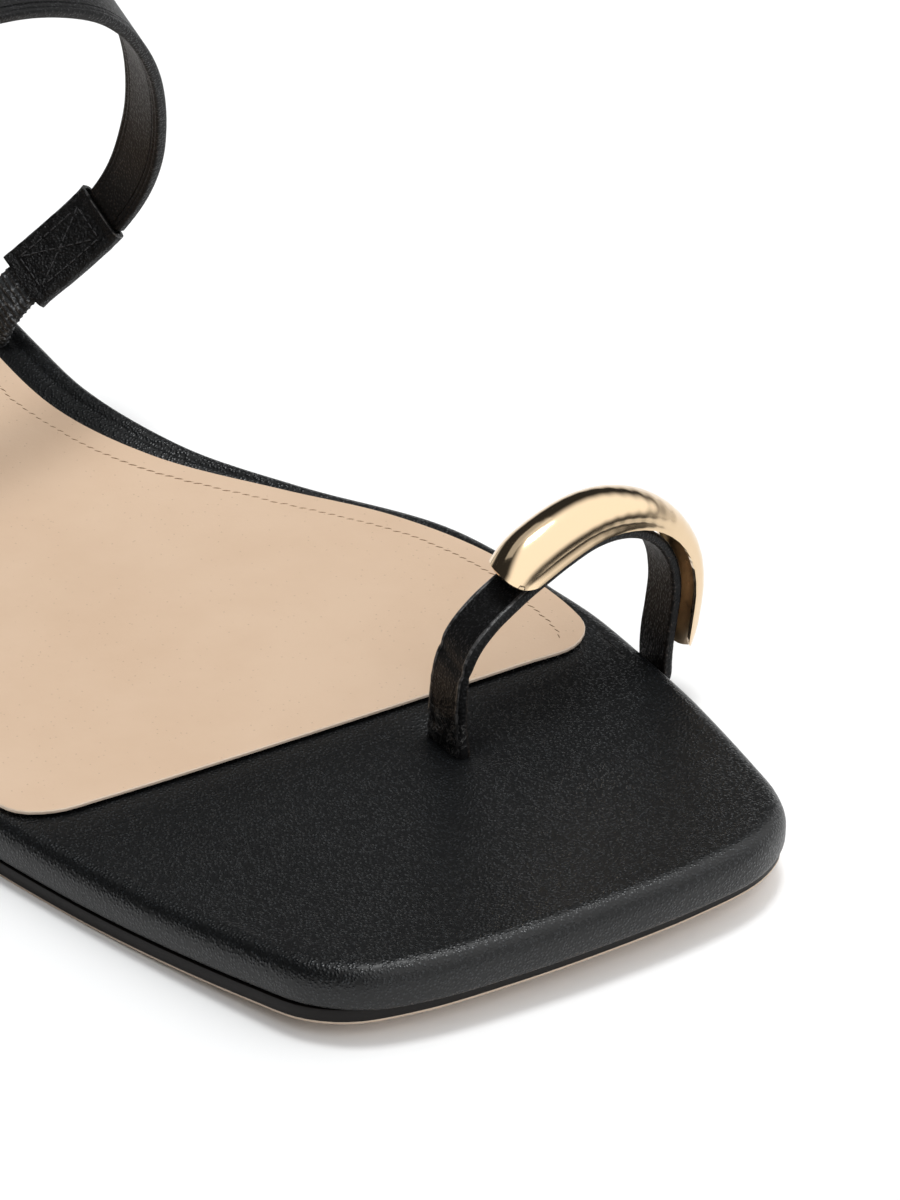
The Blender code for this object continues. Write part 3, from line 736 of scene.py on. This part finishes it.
# From the roll inward to the liner: share of the way, share of the raised edge, share of the crease
FOOTBED_SLOPE = (
    (0.12, 0.92, 0.2),
    (0.24, 0.82, 0.8),
    (0.34, 0.72, 1.0),
    (0.44, 0.62, 0.25),
    (0.56, 0.44, -0.2),
    (0.72, 0.25, -0.2),
    (0.88, 0.1, 0.0),
    (1.0, 0.0, 0.0),
)
SLOPE_UNDER_LINER = 0.4
SLOPE_LEAST = 0.3
RIM_LIFT = 0.45
RIM_LIFT_BACK = (66.0, 78.0, 104.0, 122.0)
ARCH_CREASE_DEPTH = 0.35
ARCH_CREASE_BACK = (101.0, 118.0, 195.0, 210.0)

# The wrapped leather hangs lower at the toe, where inset and height are under these
SKIRT_DROP = 0.6
SKIRT_INSETS = (0.6, 1.0)
SKIRT_HEIGHTS = (0.4, 2.6)

# Unevenness of the footbed and the liner as height and size, and the dimple round the toe strap
FOOTBED_WAVE = (0.07, 14.0)
LINER_WAVE = (0.04, 18.0)
STRAP_DIMPLE = 0.7
STRAP_DIMPLE_REACH = 2.4
STRAP_DIMPLE_HALF = 3.2

# Edge of the liner: inset, height, and 1 for the cut edge
LINER_EDGE = (
    (0.3, 0.2, 1),
    (0.02, 0.24, 1),
    (0.0, 0.4, 1),
    (0.0, LINER_THICKNESS - 0.15, 1),
    (0.1, LINER_THICKNESS - 0.02, 0),
    (0.3, LINER_THICKNESS, 0),
    (1.5, LINER_THICKNESS, 0),
)
LINER_JOIN_OUTSIDE = 6.0
LINER_JOIN_INSIDE = 5.0

# Stitches: radius of the thread, length, gap, height of the arch, slant
LINER_STITCH = (0.095, 1.15, 0.22, 0.05, 0.36)
SLEEVE_STITCH = (0.11, 0.95, 0.35, 0.03, 0.0)
THREAD_SIDES = 6
THREAD_STEPS = 5

# The liner's stitch line: inset, its big-toe end, and how far back it follows the edge from there and
# on the little-toe side
STITCH_INSET = 3.5
STITCH_END = ((33.4, 53.6), (34.4, 54.6), (35.3, 57.6), (35.9, 61.5))
STITCH_FROM = (66.0, 78.0)
STITCH_SPACING = 0.7


def outsole_piece():
    """Thin black sole with painted edge; its tan underside shows as a thin line below the paint."""
    outline, normals = fine_outline()
    recess = RECESS_SIDE + (RECESS_TOE - RECESS_SIDE) * toe_shares(normals)
    rings = [edge_ring(outline, normals, recess + inset, lifted(height)) for inset, height in OUTSOLE_EDGE]
    mesh_data = bmesh.new()
    add_plate(
        mesh_data, rings, 0.0, lambda x, y: sole_lift(y) + OUTSOLE_THICKNESS,
        lambda row, i: int(row < OUTSOLE_BARE_ROWS), under=1,
    )
    under = cut_edge_leather("sole_underside", (0.66, 0.52, 0.40))
    return finished("outsole_piece", mesh_data, [painted_edge(), under], ["outsole"])


def heel_piece():
    """Low stacked heel: thin layers show as faint lines round its painted side."""
    outline, normals = fine_outline()
    edge = outline + normals * RECESS_SIDE
    behind = [p for p in edge if p[1] > HEEL_BREAST + HEEL_BREAST_STEP]
    first, last = (np.array((p[0], HEEL_BREAST)) for p in (behind[0], behind[-1]))
    ring = np.array([first, *behind, last])
    middle = ring.mean(axis=0)
    layers = list(HEEL_FOOT)
    for seam in HEEL_SEAMS:
        layers += [(1.0, seam - HEEL_SEAM_HALF), (HEEL_SEAM_SCALE, seam), (1.0, seam + HEEL_SEAM_HALF)]
    layers.append((1.0, HEEL_HEIGHT))
    loops = [[(*p, height) for p in middle + (ring - middle) * scale] for scale, height in layers]
    mesh_data = bmesh.new()
    add_skin(mesh_data, loops, ends=True)
    return finished("heel_piece", mesh_data, [painted_edge()], ["heel"])


def footbed_height(x, y):
    """Top of the padded footbed: slightly uneven, and drawn down around the toe strap."""
    rise, size = FOOTBED_WAVE
    height = sole_lift(y) + FOOTBED_TOP + rise * wave((x, y, 0.0), size)
    start, end = ((TOE_STRAP[0][0], TOE_STRAP_BACK + s * STRAP_DIMPLE_HALF) for s in (-1, 1))
    reach = near_segment((x, y), start, end) / STRAP_DIMPLE_REACH
    return height - STRAP_DIMPLE * math.exp(-reach * reach)


def footbed_rings(outline, normals):
    """Rings of the footbed's side and border, from under its edge over the roll to beside the liner."""
    raises = ARCH_RAISE * arch_shares(outline, ARCH_RAISE_BACK)
    raises += RIM_LIFT * arch_shares(outline, RIM_LIFT_BACK)
    crease = ARCH_CREASE_DEPTH * arch_shares(outline, ARCH_CREASE_BACK)
    skirt = SKIRT_DROP * toe_shares(normals)
    rings = []
    for inset, height, share in spline(ROLL, ROLL_SPACING):
        ring = edge_ring(outline, normals, np.full(len(outline), inset), lifted(FOOTBED_BASE + height))
        hang = (1.0 - smoothstep(inset, *SKIRT_INSETS)) * (1.0 - smoothstep(height, *SKIRT_HEIGHTS))
        ring[:, 2] += raises * share - skirt * hang
        rings.append(ring)
    borders = np.array([border_width(*p) for p in outline])
    slope_start = ROLL[-1][0]
    slope_width = np.maximum(borders - SLOPE_UNDER_LINER - slope_start, SLOPE_LEAST)
    for part, share, groove in FOOTBED_SLOPE:
        ring = edge_ring(outline, normals, slope_start + slope_width * part, lifted(FOOTBED_TOP))
        ring[:, 2] += raises * share - crease * groove
        rings.append(ring)
    rings[-1][:, 2] = [footbed_height(x, y) for x, y in rings[-1][:, :2]]
    return rings


def footbed_piece():
    """Padded footbed wrapped in black leather, with a creased, beaded edge along the arch."""
    mesh_data = bmesh.new()
    add_plate(mesh_data, footbed_rings(*fine_outline()), FOOTBED_BASE, footbed_height)
    leather = grained_leather("footbed_black", FOOTBED_MARKS)
    return finished("footbed_piece", mesh_data, [leather], ["footbed"], sharp=60.0)


def liner_edge():
    """Outline of the liner: its front from the table, then inside the sole's outline round the heel."""
    outline = spline(OUTLINE, OUTLINE_SPACING, closed=True)
    left, right = LINER_FRONT[0][1], LINER_FRONT[-1][1]
    rear = []
    for point, normal in zip(outline[::3], inward_normals(outline)[::3]):
        across, back = point + normal * border_width(*point)
        inside = back > (left if across < 0 else right) + LINER_JOIN_INSIDE
        if inside and point[1] > right + LINER_JOIN_OUTSIDE:
            rear.append((across, back))
    return spline(list(LINER_FRONT) + rear, FINE_OUTLINE, closed=True)


def liner_top(x, y):
    """Top of the liner, slightly uneven."""
    rise, size = LINER_WAVE
    return sole_lift(y) + LINER_BASE + LINER_THICKNESS + rise * wave((x, y, 3.0), size)


def liner_piece():
    """Thin beige liner with a pale cut edge."""
    edge = liner_edge()
    inward = inward_normals(edge)
    rings = []
    for inset, height, _ in LINER_EDGE:
        rings.append(edge_ring(edge, inward, np.full(len(edge), inset), lifted(LINER_BASE + height)))
    mesh_data = bmesh.new()
    add_plate(mesh_data, rings, LINER_BASE, liner_top, lambda row, i: LINER_EDGE[row][2], under=1)
    cut = cut_edge_leather("liner_cut_edge", (0.86, 0.70, 0.55))
    return finished("liner_piece", mesh_data, [liner_leather(), cut], ["sock_liner"])


def add_thread(mesh_data, points, stitch):
    """Lays stitches along a path: short arched threads that dip at both ends."""
    radius, length, gap, lift, slant = stitch
    path = np.array(points)
    total = arc_lengths(path)[-1]
    start = gap
    while start + length < total:
        middle = resample(path, np.linspace(start, start + length, THREAD_STEPS))
        tangent = unit(np.gradient(middle, axis=0))
        side = unit(np.cross(tangent, (0.0, 0.0, 1.0)))
        over = np.cross(side, tangent)
        loops = []
        for k in range(THREAD_STEPS):
            share = k / (THREAD_STEPS - 1)
            drift = side[k] * slant * (0.5 - share + 0.6 * wave(tuple(middle[k]), 1.6, 7.0))
            rise = lift * (4.0 * share * (1.0 - share)) - radius * 0.6
            thick = radius * (0.6 + 0.4 * math.sin(math.pi * share))
            loop = []
            for turn in np.linspace(0.0, 2.0 * math.pi, THREAD_SIDES, endpoint=False):
                around = over[k] * (rise + thick * math.sin(turn)) + side[k] * thick * math.cos(turn)
                loop.append(middle[k] + drift + around)
            loops.append(loop)
        add_skin(mesh_data, loops, ends=True)
        start += length + gap


def liner_stitches():
    """The stitch line inside the liner's edge, from its big-toe corner round the heel to the other side."""
    outline, normals = fine_outline()
    points = []
    for point, normal in zip(outline, normals):
        if point[1] > (STITCH_FROM[0] if point[0] > 0 else STITCH_FROM[1]):
            points.append(point + normal * (border_width(*point) + STITCH_INSET))
    flat = spline(list(STITCH_END) + points[::4], STITCH_SPACING)
    path = [(x, y, sole_lift(y) + LINER_BASE + LINER_THICKNESS) for x, y in flat]
    mesh_data = bmesh.new()
    add_thread(mesh_data, path, LINER_STITCH)
    thread = thread_material("tan_thread", (0.3, 0.19, 0.115))
    return finished("liner_stitches", mesh_data, [thread])


# Straps

CORNER_STEPS = 5
SECTION_MARKS = (0.0, 0.35, 0.62)
GROOVE_HALF = 0.22
FLAT_MARGIN = 0.02

# Toe strap: a crease across its near leg, wrinkles, a bunched foot and a raised line along each edge
TOE_CREASE_AT = 16.5
TOE_CREASE_DEPTH = 0.28
TOE_CREASE_SLANT = 0.25
TOE_CREASE_WIDTH = 0.5
TOE_WRINKLED = (9.0, 17.0)
TOE_WRINKLE = 0.3
TOE_BUNCHED = (5.6, 9.0)
TOE_BUNCH = 0.55
TOE_SWELL = 0.12
TOE_CRUMPLED_TO = 9.5
RIDGE_AT = 2.8
RIDGE_HEIGHT = 0.13
RIDGE_WIDTH = 0.22
# Across the strap, the band of the raised line that takes the leather with the painted highlight
RIDGE_PAINTED = (RIDGE_AT - 0.25, RIDGE_AT + 0.3)


def band_section(width, thickness, soft, groove=0.0, groove_at=()):
    """A strap's section with round edges, as (along width, along thickness), and edge-line grooves."""
    w, t = width / 2, thickness / 2
    soft = min(soft, t)
    lines = [w - g + aside for g in groove_at for aside in (-GROOVE_HALF, 0.0, GROOVE_HALF)]
    marks = sorted({*[w * share for share in SECTION_MARKS], *lines})
    grooves = {round(w - g, 4) for g in groove_at}
    face = [
        (m, t - (groove if round(m, 4) in grooves else 0.0))
        for m in marks if m < w - soft - FLAT_MARGIN
    ]
    corner = [
        (w - soft + soft * math.sin(a), t - soft + soft * math.cos(a))
        for a in np.linspace(0.0, math.pi / 2, CORNER_STEPS)
    ]
    quarter = face + corner
    right = quarter + [(x, -y) for x, y in reversed(quarter)]
    left = [(-x, -y) for x, y in quarter[1:]] + [(-x, y) for x, y in reversed(quarter[1:])]
    return right + left


def inner_faces(section):
    """Numbers of a section's faces on the inner side of its strap."""
    count = len(section)
    return [i for i in range(count) if section[i][1] < 0 and section[(i + 1) % count][1] < 0]


def add_band(mesh_data, path, widths, section, shape, paint=lambda row, i: 0, ends=True):
    """Sweeps a section along a path. shape moves each point along the strap's own directions."""
    _, outward = frames(path, widths)
    stations = arc_lengths(path)
    loops = []
    for i, point in enumerate(path):
        loop = []
        for u, v in section:
            u, v = shape(stations[i], u, v, point)
            loop.append(point + widths[i] * u + outward[i] * v)
        loops.append(loop)
    return add_skin(mesh_data, loops, paint, ends)


def toe_strap_shape(station, u, v, point):
    """Moves a point of the toe strap's section for its creases, wrinkles and raised edge lines."""
    low = 1.0 - smoothstep(station, *TOE_WRINKLED)
    foot = 1.0 - smoothstep(station, *TOE_BUNCHED)
    ripple = TOE_WRINKLE * low * wave((u * 1.3, station * 1.6, 5.0), 1.5) + TOE_SWELL * foot
    ripple += TOE_BUNCH * foot * wave((u * 1.1, station * 1.9, 8.0), 1.2)
    from_crease = (station - TOE_CREASE_AT + TOE_CREASE_SLANT * u) / TOE_CREASE_WIDTH
    fold = TOE_CREASE_DEPTH * math.exp(-from_crease ** 2)
    slow = 0.05 * wave(tuple(point), 5.0, 2.0)
    ridge = RIDGE_HEIGHT * math.exp(-((abs(u) - RIDGE_AT) / RIDGE_WIDTH) ** 2) * (v > 0)
    ridge *= 1.0 + 0.7 * wave((station * 1.3, u, 3.0), 1.0)
    wider = 1.0 + 0.02 * wave((station, 0.0, 9.0), 6.0) + 0.09 * low
    wider += foot * (0.03 + 0.12 * wave((station, math.copysign(3.0, u), 1.0), 1.5))
    share = math.copysign(min(1.0, abs(v) / (TOE_STRAP_THICKNESS / 2)), v)
    return u * wider, v + (ripple + slow + ridge - fold) * share


def toe_strap_piece():
    """Leather loop strap: raised edge lines, a crease across its near leg and wrinkles at its foot."""
    route = toe_strap_path(FINE_ROUTE)
    total = arc_lengths(route[:, :3])[-1]
    path, widths = part_of(route, np.linspace(0.0, total, int(total / FINE_ROUTE)))
    section = band_section(TOE_STRAP_WIDTH, TOE_STRAP_THICKNESS, soft=0.42, groove_at=(0.55, 0.95))
    inner = inner_faces(section)
    ridge = []
    for i, (u, v) in enumerate(section):
        middle = abs(u + section[(i + 1) % len(section)][0]) / 2
        if v > 0 and RIDGE_PAINTED[0] < middle < RIDGE_PAINTED[1]:
            ridge.append(i)

    def paint(row, i):
        if i in inner:
            return 1
        # The raised edge lines take the leather with the painted highlight
        if i in ridge:
            return 2
        return 3 if row * FINE_ROUTE < TOE_CRUMPLED_TO else 0

    mesh_data = bmesh.new()
    add_band(mesh_data, path, widths, section, toe_strap_shape, paint)
    leathers = [grained_leather("toe_strap_black"), grained_leather("strap_lining")]
    leathers += [painted_highlight_leather(), creased_leather()]
    return finished("toe_strap_piece", mesh_data, leathers, ["toe_strap"], sharp=50.0)


# Ornament

ORNAMENT_FINE_STATIONS = 110
ORNAMENT_ARC_STEPS = 36
LIP_HEIGHT = 0.55
LIP_SPREAD = 0.34
CROWN_DROP = 0.3
CROWN_DROP_POWER = 2.4
CROWN_LIFT = 0.1
END_THINNING = 0.5
END_THINNING_STATIONS = 2.0
END_REACH_SPACING = 3.0

# How far the shell's two ends reach along the strap, round the section from the front lip over the
# crown to the back lip: degrees, reach of the near end, reach of the far end
END_REACH = (
    (0.0, -0.7, -0.2), (7.0, 0.45, 0.1), (15.0, 1.25, 0.3), (30.0, 2.0, 0.5), (45.0, 2.5, 0.75),
    (60.0, 2.7, 1.2), (75.0, 2.75, 1.65), (90.0, 2.7, 2.05), (105.0, 2.45, 2.25), (120.0, 2.05, 2.2),
    (135.0, 1.6, 2.0), (150.0, 1.3, 1.6), (165.0, 0.6, 1.1), (180.0, -0.4, 0.5),
)


def ornament_section(width, rise, wall):
    """Half-round shell section with a small rolled lip at each foot: angles, outer and inner points."""
    angles, outer, inner = [], [], []
    half = width / 2
    for step in range(ORNAMENT_ARC_STEPS + 1):
        angle = math.pi * step / ORNAMENT_ARC_STEPS
        angles.append(math.degrees(angle))
        y = rise * math.sin(angle)
        lip = LIP_SPREAD * math.exp(-((y / LIP_HEIGHT) ** 2))
        outer.append(((half - LIP_SPREAD + lip) * math.cos(angle), y))
        inner.append(((half - wall) * math.cos(angle), (rise - wall) * math.sin(angle)))
    return angles, outer, inner


def near_end(stations_off, stretch):
    """Share that falls from 1 at an end of the shell to 0 a stretch of stations away from it."""
    return max(0.0, 1.0 - stations_off / stretch)


def ornament_piece():
    """Polished half-round shell with rolled lips, rounded ends and an open, hollow back."""
    base, widths, rises = ornament_lines()
    stations = np.linspace(0.0, arc_lengths(base)[-1], ORNAMENT_FINE_STATIONS)
    rows = resample(np.column_stack((base, widths, rises)), stations)
    base, widths, rises = rows[:, :3], unit(rows[:, 3:6]), rows[:, 6]
    tangent, outward = frames(base, widths)
    last = len(base) - 1
    raked = ORNAMENT_RAKE_STATIONS * last / (ORNAMENT_STATIONS - 1)
    table = spline(END_REACH, END_REACH_SPACING)
    loops = []
    for i, point in enumerate(base):
        end = min(i, last - i)
        near = i < last / 2
        wall = ORNAMENT_WALL * (1.0 - END_THINNING * near_end(end, END_THINNING_STATIONS) ** 2)
        crown = 1.0 - CROWN_DROP * near_end(end, raked / 2) ** CROWN_DROP_POWER
        crown *= 1.0 + CROWN_LIFT * math.sin(math.pi * i / last)
        angles, outer, inner = ornament_section(ORNAMENT_WIDTH, rises[i] * crown, wall)
        reaches = np.interp(angles, table[:, 0], table[:, 1 if near else 2])
        shifts = (-1 if near else 1) * near_end(end, raked) ** 2 * np.concatenate((reaches, reaches[::-1]))
        loops.append([
            point + widths[i] * x + outward[i] * y + tangent[i] * shift
            for (x, y), shift in zip(outer + inner[::-1], shifts)
        ])
    mesh_data = bmesh.new()
    count = len(loops[0])
    # The inside faces take the gold with painted shade
    ends = add_skin(mesh_data, loops, lambda row, i: int(count // 2 <= i < count - 1))
    for ring in (ends[0], ends[-1]):
        for i in range(count // 2 - 1):
            mesh_data.faces.new((ring[i], ring[i + 1], ring[count - 2 - i], ring[count - 1 - i]))
    metals = [gold_metal(), painted_shade_gold()]
    return finished("toe_ornament_piece", mesh_data, metals, ["toe_ornament"], sharp=45.0)


# Instep strap, sleeve and elastic

# Lengths of strap and elastic that are made inside the sleeve
STRAP_IN_SLEEVE = 3.0
ELASTIC_IN_SLEEVE = 2.5

# Where the strap's thin end stops, past the sleeve's edge, and the length of that step
STRAP_STEP = (0.25, 0.15)

# The strap is slimmer beside the sleeve, by a share on the left in the photo and one on the right
STRAP_SLIM_LENGTH = 14.0
STRAP_SLIM_LEFT = 0.22
STRAP_SLIM_RIGHT = 0.07

# The sleeve against its solid: wider to the left and right in the photo, and moved along the strap
SLEEVE_WIDER_LEFT = 0.3
SLEEVE_WIDER_RIGHT = 0.15
SLEEVE_SHIFT = 0.7
SLEEVE_LONGER = 0.2
SLEEVE_STATIONS = 72
SLEEVE_GROOVE_AT = (1.5,)
SLEEVE_CRINKLES = (0.1, 0.07)
SLEEVE_SUNK = 0.1

# Stitched box on the sleeve: half its width, and its distance from the sleeve's two ends
STITCH_BOX_HALF = 2.8
STITCH_BOX_ENDS = (1.7, 2.2)
STITCH_BOX_SUNK = 0.02
STITCH_BOX_STATIONS = 40
STITCH_LINE_POINTS = 30

# Elastic: where it starts in the footbed, and its ribs
ELASTIC_START = 1.5
ELASTIC_STATIONS = 150
RIB_PITCH = 0.85
RIB_HEIGHT = 0.11
RIB_SWAY = 0.12
ELASTIC_FLAT = 2.4


def instep_strap_piece():
    """Slim lined leather strap with two fine lines along each edge."""
    route = instep_path(FINE_ROUTE)
    total = arc_lengths(route[:, :3])[-1]
    start = SLEEVE_END - STRAP_IN_SLEEVE
    path, widths = part_of(route, np.linspace(start, total, int((total - start) / FINE_ROUTE)))
    section = band_section(
        INSTEP_STRAP_WIDTH, INSTEP_STRAP_THICKNESS, soft=0.45, groove=0.12, groove_at=(0.85, 1.55)
    )
    step_at, step = STRAP_STEP
    out = STRAP_IN_SLEEVE + step_at + SLEEVE_SHIFT

    def shape(station, u, v, point):
        inside = 1.0 - smoothstep(station, out, out + step)
        beside = 1.0 - smoothstep(station, out, out + STRAP_SLIM_LENGTH)
        u *= 1.0 - inside * (1.0 - STRAP_END_WIDTH / INSTEP_STRAP_WIDTH)
        u *= 1.0 - (STRAP_SLIM_LEFT if u > 0 else STRAP_SLIM_RIGHT) * beside
        v *= 1.0 - inside * (1.0 - STRAP_END_THICKNESS / INSTEP_STRAP_THICKNESS)
        return u, v + 0.04 * wave(tuple(point), 7.0)

    inner = inner_faces(section)
    mesh_data = bmesh.new()
    add_band(mesh_data, path, widths, section, shape, lambda row, i: int(i in inner))
    leathers = [grained_leather("instep_strap_black"), grained_leather("instep_lining")]
    return finished("instep_strap_piece", mesh_data, leathers, ["instep_strap"], sharp=50.0)


def instep_stretch(start, end, count):
    """Path and width directions of the instep strap's route between two stations."""
    return part_of(instep_path(FINE_ROUTE), np.linspace(start, end, count))


def sleeve_size():
    """Width and thickness of the sleeve's hollow."""
    return STRAP_END_WIDTH + 2 * CLEARANCE, STRAP_END_THICKNESS + 2 * CLEARANCE


def sleeve_piece():
    """Thin crinkled leather folded round the strap end and the elastic, with turned ends."""
    start, end = SLEEVE_START + SLEEVE_SHIFT, SLEEVE_END + SLEEVE_LONGER + SLEEVE_SHIFT
    path, widths = instep_stretch(start, end, SLEEVE_STATIONS)
    width, thickness = sleeve_size()
    walls = 2 * SLEEVE_WALL
    outer = band_section(width + walls, thickness + walls, soft=0.8, groove=0.07, groove_at=SLEEVE_GROOVE_AT)
    inner = band_section(width, thickness, soft=0.5, groove_at=SLEEVE_GROOVE_AT)
    length = SLEEVE_END - SLEEVE_START
    half = thickness / 2 + SLEEVE_WALL

    def hollow(station, u, v, point):
        more = SLEEVE_WIDER_RIGHT if u < 0 else SLEEVE_WIDER_LEFT
        return u * (1.0 + more / (width / 2)), v

    def shape(station, u, v, point):
        side = math.copysign(1.0, v)
        coarse, fine = SLEEVE_CRINKLES
        crinkle = coarse * wave((u, station, side), 1.9) + fine * wave((u, station, side), 0.9, 4.0)
        from_end = min(station, length - station)
        roll = 0.12 * math.exp(-(from_end / 0.45) ** 2) - 0.1 * math.exp(-((from_end - 1.3) / 0.35) ** 2)
        u, _ = hollow(station, u, v, point)
        out = side * (crinkle + roll - SLEEVE_SUNK) * min(1.0, abs(v) / half)
        return u * (1.0 + 0.006 * wave((station, 1.0, 1.0), 2.5)), v + out

    mesh_data = bmesh.new()
    last_row = len(path) - 2
    # The last ring of faces at the sleeve's end takes the leather with the painted highlight
    outside = add_band(mesh_data, path, widths, outer, shape, lambda row, i: int(row == last_row), False)
    inside = add_band(mesh_data, path, widths, inner, hollow, ends=False)
    count = len(outer)
    for end in (0, -1):
        for i in range(count):
            j = (i + 1) % count
            mesh_data.faces.new((outside[end][i], outside[end][j], inside[end][j], inside[end][i]))
    leathers = [grained_leather("sleeve_black"), painted_highlight_leather()]
    return finished("sleeve_piece", mesh_data, leathers, ["strap_sleeve"], sharp=60.0)


def sleeve_stitches():
    """A stitched box with a cross on both faces of the sleeve."""
    start, end = SLEEVE_START + SLEEVE_SHIFT, SLEEVE_END + SLEEVE_SHIFT
    path, widths = instep_stretch(start, end, STITCH_BOX_STATIONS)
    _, outward = frames(path, widths)
    rise = sleeve_size()[1] / 2 + SLEEVE_WALL - STITCH_BOX_SUNK
    length = SLEEVE_END - SLEEVE_START
    low, high = STITCH_BOX_ENDS[0], length - STITCH_BOX_ENDS[1]
    a, b = (-STITCH_BOX_HALF, low), (STITCH_BOX_HALF, low)
    c, d = (STITCH_BOX_HALF, high), (-STITCH_BOX_HALF, high)
    mesh_data = bmesh.new()
    for face in (1.0, -1.0):
        for (u0, s0), (u1, s1) in ((a, b), (b, c), (c, d), (d, a), (a, c), (b, d)):
            line = []
            for t in np.linspace(0.0, 1.0, STITCH_LINE_POINTS):
                k = (s0 + (s1 - s0) * t) / length * (len(path) - 1)
                index = min(len(path) - 2, int(k))
                part = k - index
                point = path[index] * (1 - part) + path[index + 1] * part
                u = u0 + (u1 - u0) * t
                line.append(point + widths[index] * u + outward[index] * face * rise)
            add_thread(mesh_data, line, SLEEVE_STITCH)
    thread = thread_material("black_thread", (0.028, 0.028, 0.03))
    return finished("sleeve_stitches", mesh_data, [thread])


def elastic_piece():
    """Ruched elastic: uneven ribs across the band, gathered where it enters the sleeve."""
    end = SLEEVE_START + ELASTIC_IN_SLEEVE
    path, widths = instep_stretch(ELASTIC_START, end, ELASTIC_STATIONS)
    section = band_section(ELASTIC_WIDTH, ELASTIC_THICKNESS, soft=0.5)
    ribs_end = SLEEVE_START - ELASTIC_START + SLEEVE_SHIFT

    def shape(station, u, v, point):
        inside = smoothstep(station, ribs_end - 0.4, ribs_end + 0.2)
        rib = math.cos(2.0 * math.pi * (station + RIB_SWAY * math.sin(u * 2.0)) / RIB_PITCH)
        rise = RIB_HEIGHT * (1.0 - inside) * rib
        wild = 0.08 * wave((u, station, 2.0), 0.8) * (1.0 - inside)
        aside = math.copysign(rise * 0.6, u) * (abs(u) > ELASTIC_FLAT)
        return u * (1.0 - 0.1 * inside) + aside, v + math.copysign(1.0, v) * (rise + wild - 0.2 * inside)

    mesh_data = bmesh.new()
    add_band(mesh_data, path, widths, section, shape)
    return finished("elastic_piece", mesh_data, [elastic_knit()], ["instep_elastic"], sharp=70.0)


# Studio

WHITE = (1.0, 1.0, 1.0, 1.0)
COOL_WHITE = (0.975, 0.992, 1.0)
SOFT_LIGHT_FROM = (0.46, -0.68, 0.57)
BACKDROP_SIDE = (0.62, 0.78, 0.0)
BACKDROP_SHARE = 0.55
WORLD_STRENGTH = (0.03, 1.34)
FLOOR_SIZE = 3.0
FLOOR_DROP = 0.05

# Area lights: name, place and size in metres, power in watts
LIGHTS = (
    ("overhead", (0.14, -0.06, 1.2), (0.24, 0.24), 5.8),
    ("behind", (-0.1, 0.45, 1.1), (0.9, 0.5), 0.7),
)

CAMERA_AZIMUTH = math.radians(-38.0)
CAMERA_ELEVATION = math.radians(30.0)
CAMERA_LENS = 169.65
CAMERA_SENSOR = 36.0
CAMERA_PLACE = (-0.35222, -0.54142, 0.36463)
CAMERA_CLIP = (0.05, 20.0)


def area_light(name, place, size, power):
    """A light that looks at the frame's middle."""
    data = bpy.data.lights.new(name, "AREA")
    data.shape = "RECTANGLE"
    data.size, data.size_y = size
    data.energy = power
    data.color = COOL_WHITE
    made = linked(name, data)
    made.location = place
    made.rotation_euler = (-Vector(place)).to_track_quat("-Z", "Y").to_euler()


def sky_light():
    """A soft glow from the toe's big-toe side, and a dimmer backdrop low beyond the sandal."""
    world = bpy.data.worlds.new("studio")
    bpy.context.scene.world = world
    world.use_nodes = True
    tree = world.node_tree
    way = tree.nodes.new("ShaderNodeTexCoord").outputs["Generated"]
    height = add(tree, "ShaderNodeSeparateXYZ", Vector=way).outputs["Z"]
    towards = vector_maths(tree, "DOT_PRODUCT", way, SOFT_LIGHT_FROM, output="Value")
    across = vector_maths(tree, "DOT_PRODUCT", way, BACKDROP_SIDE, output="Value")
    glow = span(tree, towards, (0.22, 0.66), smooth=True)
    above = span(tree, height, (0.06, 0.3), smooth=True)
    low = span(tree, height, (0.04, 0.2), (1.0, 0.0), smooth=True)
    beyond = span(tree, across, (0.0, 0.4), (0.0, BACKDROP_SHARE), smooth=True)
    lit, backdrop = maths(tree, "MULTIPLY", glow, above), maths(tree, "MULTIPLY", low, beyond)
    strength = span(tree, maths(tree, "MAXIMUM", lit, backdrop), (0.0, 1.0), WORLD_STRENGTH)
    fill(tree, tree.nodes["Background"], Color=WHITE, Strength=strength)


def studio():
    """A white floor, the world's light and the area lights."""
    sky_light()
    bpy.context.scene.view_settings.view_transform = "Standard"
    mesh_data = bmesh.new()
    bmesh.ops.create_grid(mesh_data, x_segments=2, y_segments=2, size=FLOOR_SIZE)
    mesh = bpy.data.meshes.new("floor")
    mesh_data.to_mesh(mesh)
    mesh_data.free()
    floor = linked("floor", mesh)
    floor.location = (0.0, 0.0, -FLOOR_DROP * MM)
    mesh.materials.append(principled("white_floor", (0.99, 0.99, 0.99), 0.9, specular=0.0)[0])
    for name, place, size, power in LIGHTS:
        area_light(name, place, size, power)


def camera():
    """The camera of the photo."""
    data = bpy.data.cameras.new("camera")
    data.lens = CAMERA_LENS
    data.sensor_width = CAMERA_SENSOR
    data.clip_start, data.clip_end = CAMERA_CLIP
    made = linked("camera", data)
    back = Vector((
        math.sin(CAMERA_AZIMUTH) * math.cos(CAMERA_ELEVATION),
        -math.cos(CAMERA_AZIMUTH) * math.cos(CAMERA_ELEVATION),
        math.sin(CAMERA_ELEVATION),
    ))
    made.matrix_world = Matrix.Translation(CAMERA_PLACE) @ back.to_track_quat("Z", "Y").to_matrix().to_4x4()
    bpy.context.scene.camera = made


outsole_piece()
heel_piece()
footbed_piece()
liner_piece()
liner_stitches()
toe_strap_piece()
ornament_piece()
instep_strap_piece()
sleeve_piece()
sleeve_stitches()
elastic_piece()
studio()
camera()
